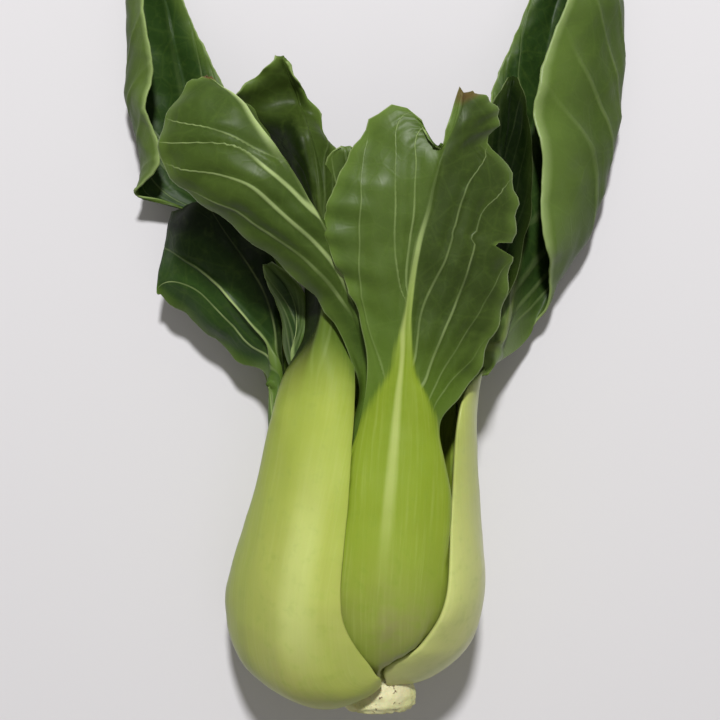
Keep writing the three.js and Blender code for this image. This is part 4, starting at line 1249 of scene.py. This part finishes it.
class BOKCHOY_OT_outer_leaves(bpy.types.Operator):
    """Grow the five outer leaves, whose stalks make the bulb"""

    bl_idname = "bokchoy.outer_leaves"
    bl_label = "Outer leaves"

    def execute(self, context):
        # Painted light and shade on this leaf: near black inside its folded-over side, its stalk shaded
        # towards its rims and lit up its middle.
        dress(
            "front_left", "warm_stalk", 110, low=0.5, turned=(0.95, 0.2),
            ridge=(0.52, 0.3, 0.4, 0.4, 0.6, 0.95), fade=(0.96, 1.1), rib=0.05, vein_light=0.12,
            sides=(0.6, 0.7), fold=(0.98, 0.1, 0.26, 1.57), shine=0.12,
        )
        dress(
            "right", "pale_stalk", 100, low=0.0, turned=(0.3, 0.3), fade=(0.96, 1.08), rib=0.15,
            vein_light=0.14,
        )
        dress("back_right", "pale_stalk", 80, vein_light=0.3)
        dress("back_left", "warm_stalk", 90, rib=0.1, vein_light=0.15, shine=0.15)
        # Painted light and shade: the blade's first side is lighter, where it catches a sheen, and its
        # second side darker.
        dress(
            "front_middle", "green_stalk", 120, low=1.0, turned=(0.1, 0.25),
            ridge=(0.42, -0.13, 0.09, 0.6, 0.9, 3.0), fade=(1.3, 1.5), rib=0.2, vein_width=0.5,
            vein_light=0.35, sides=(1.3, 0.7), scorch=0.7,
        )
        return {"FINISHED"}


class BOKCHOY_OT_inner_leaves(bpy.types.Operator):
    """Grow the four leaves inside the bulb"""

    bl_idname = "bokchoy.inner_leaves"
    bl_label = "Inner leaves"

    def execute(self, context):
        # Painted shade on this leaf: its folded-over side under the leaves above it is near black.
        dress(
            "left", "deep_stalk", 90, foot=0.0, vein_light=0.7, sides=(1.0, 1.3),
            fold=(0.85, 0.3, 0.6, 2.0), shine=0.15,
        )
        dress("lower_right", "green_stalk", 54, 1.6)
        dress(
            "inner_left", "deep_stalk", 110, rib=0.2, vein_width=1.3, vein_light=0.8, crease=True,
            scorch=0.9, shine=0.2,
        )
        # Painted shade: this blade is darkened nearly to black, as it lies in the shadow of the leaves over
        # it.
        dress(
            "inner_right", "green_stalk", 60, 1.4, rib=0.0, vein_light=0.03, edge=0.1, shade=0.2,
            shine=0.05,
        )
        return {"FINISHED"}


class BOKCHOY_OT_heart_leaves(bpy.types.Operator):
    """Grow the three small leaves at the heart"""

    bl_idname = "bokchoy.heart_leaves"
    bl_label = "Heart leaves"

    def execute(self, context):
        dress("heart_back", "green_stalk", 40, 1.8)
        dress("inner_small", "deep_stalk", 44, 1.2, vein_light=0.25)
        dress("heart_front", "green_stalk", 40, 1.8)
        return {"FINISHED"}


FLOOR_HALF = 2.0  # half length of the floor's sides
FLOOR_CELLS = 8  # squares along each of them
FLOOR_DROP = 0.0001  # how far the floor lies below the head, so that the two never share a face
SKY_COLOUR = (1.0, 0.97, 0.9, 1)
LAMPS = (  # name, place, width and share of the key light's power
    ("key light", (0.01, 0.55, 1.0), 0.11, 1.0),
    ("fill light", (0.2, -0.5, 1.4), 0.9, 0.08),
)
LIT_POINT = (0, 0, 0.02)  # what the lights are turned to
SENSOR = 36  # width of the camera's picture area in millimetres


def lay_floor(colour_of_floor):
    """A sheet of matt paper under the head."""
    bm = bmesh.new()
    bmesh.ops.create_grid(bm, x_segments=FLOOR_CELLS, y_segments=FLOOR_CELLS, size=FLOOR_HALF)
    bmesh.ops.translate(bm, verts=bm.verts[:], vec=(0, 0, -FLOOR_DROP))
    floor = placed("floor", bm)
    paper = bpy.data.materials.new("floor paper")
    paper.use_nodes = True
    shader = paper.node_tree.nodes["Principled BSDF"]
    shader.inputs["Base Color"].default_value = (*colour_of_floor, 1)
    shader.inputs["Roughness"].default_value = 0.9
    floor.data.materials.append(paper)


def set_lights(scene, sky, key_power):
    """Even light from all sides, and two round lamps."""
    world = bpy.data.worlds.new("even light")
    world.use_nodes = True
    background = world.node_tree.nodes["Background"]
    background.inputs["Color"].default_value = SKY_COLOUR
    background.inputs["Strength"].default_value = sky
    scene.world = world
    for name, place, size, share in LAMPS:
        lamp = bpy.data.lights.new(name, "AREA")
        lamp.shape = "DISK"
        lamp.size = size
        lamp.energy = key_power * share
        lit = bpy.data.objects.new(name, lamp)
        lit.location = place
        lit.rotation_euler = (Vector(LIT_POINT) - lit.location).to_track_quat("-Z", "Y").to_euler()
        scene.collection.objects.link(lit)


def set_camera(scene, eye, focal_length):
    """A camera that looks straight down."""
    lens = bpy.data.cameras.new("camera")
    lens.lens = focal_length
    lens.sensor_width = SENSOR
    lens.sensor_fit = "HORIZONTAL"
    lens.clip_start = 0.01
    camera = bpy.data.objects.new("camera", lens)
    camera.location = eye
    scene.collection.objects.link(camera)
    scene.camera = camera


class BOKCHOY_OT_stage(bpy.types.Operator):
    """Lay the floor and set the light and the camera"""

    bl_idname = "bokchoy.stage"
    bl_label = "Stage"

    def execute(self, context):
        scene = context.scene
        given = scene.bok_choy_stage
        lay_floor(given.floor)
        set_lights(scene, given.sky, given.key_power)
        set_camera(scene, given.eye, given.lens)
        scene.view_settings.view_transform = "Standard"
        return {"FINISHED"}


class BOKCHOY_PT_panel(bpy.types.Panel):
    """Steps and settings of the head"""

    bl_idname = "BOKCHOY_PT_panel"
    bl_label = "Baby bok choy"
    bl_space_type = "VIEW_3D"
    bl_region_type = "UI"
    bl_category = "Bok choy"

    def draw(self, context):
        for operator in OPERATORS:
            self.layout.operator(operator.bl_idname)
        for settings in (
            context.scene.bok_choy_sizes, context.scene.bok_choy_colours, context.scene.bok_choy_stage
        ):
            for name in settings.__annotations__:
                self.layout.prop(settings, name)


OPERATORS = (
    BOKCHOY_OT_stem,
    BOKCHOY_OT_outer_leaves,
    BOKCHOY_OT_inner_leaves,
    BOKCHOY_OT_heart_leaves,
    BOKCHOY_OT_stage,
)
CLASSES = (BokChoySizes, BokChoyColours, BokChoyStage, *OPERATORS, BOKCHOY_PT_panel)


def register():
    for cls in CLASSES:
        bpy.utils.register_class(cls)
    bpy.types.Scene.bok_choy_sizes = PointerProperty(type=BokChoySizes)
    bpy.types.Scene.bok_choy_colours = PointerProperty(type=BokChoyColours)
    bpy.types.Scene.bok_choy_stage = PointerProperty(type=BokChoyStage)


def unregister():
    del bpy.types.Scene.bok_choy_sizes
    del bpy.types.Scene.bok_choy_colours
    del bpy.types.Scene.bok_choy_stage
    for cls in reversed(CLASSES):
        bpy.utils.unregister_class(cls)


def main():
    register()
    bpy.ops.bokchoy.stage()
    bpy.ops.bokchoy.stem()
    bpy.ops.bokchoy.outer_leaves()
    bpy.ops.bokchoy.inner_leaves()
    bpy.ops.bokchoy.heart_leaves()


if __name__ == "__main__":
    main()
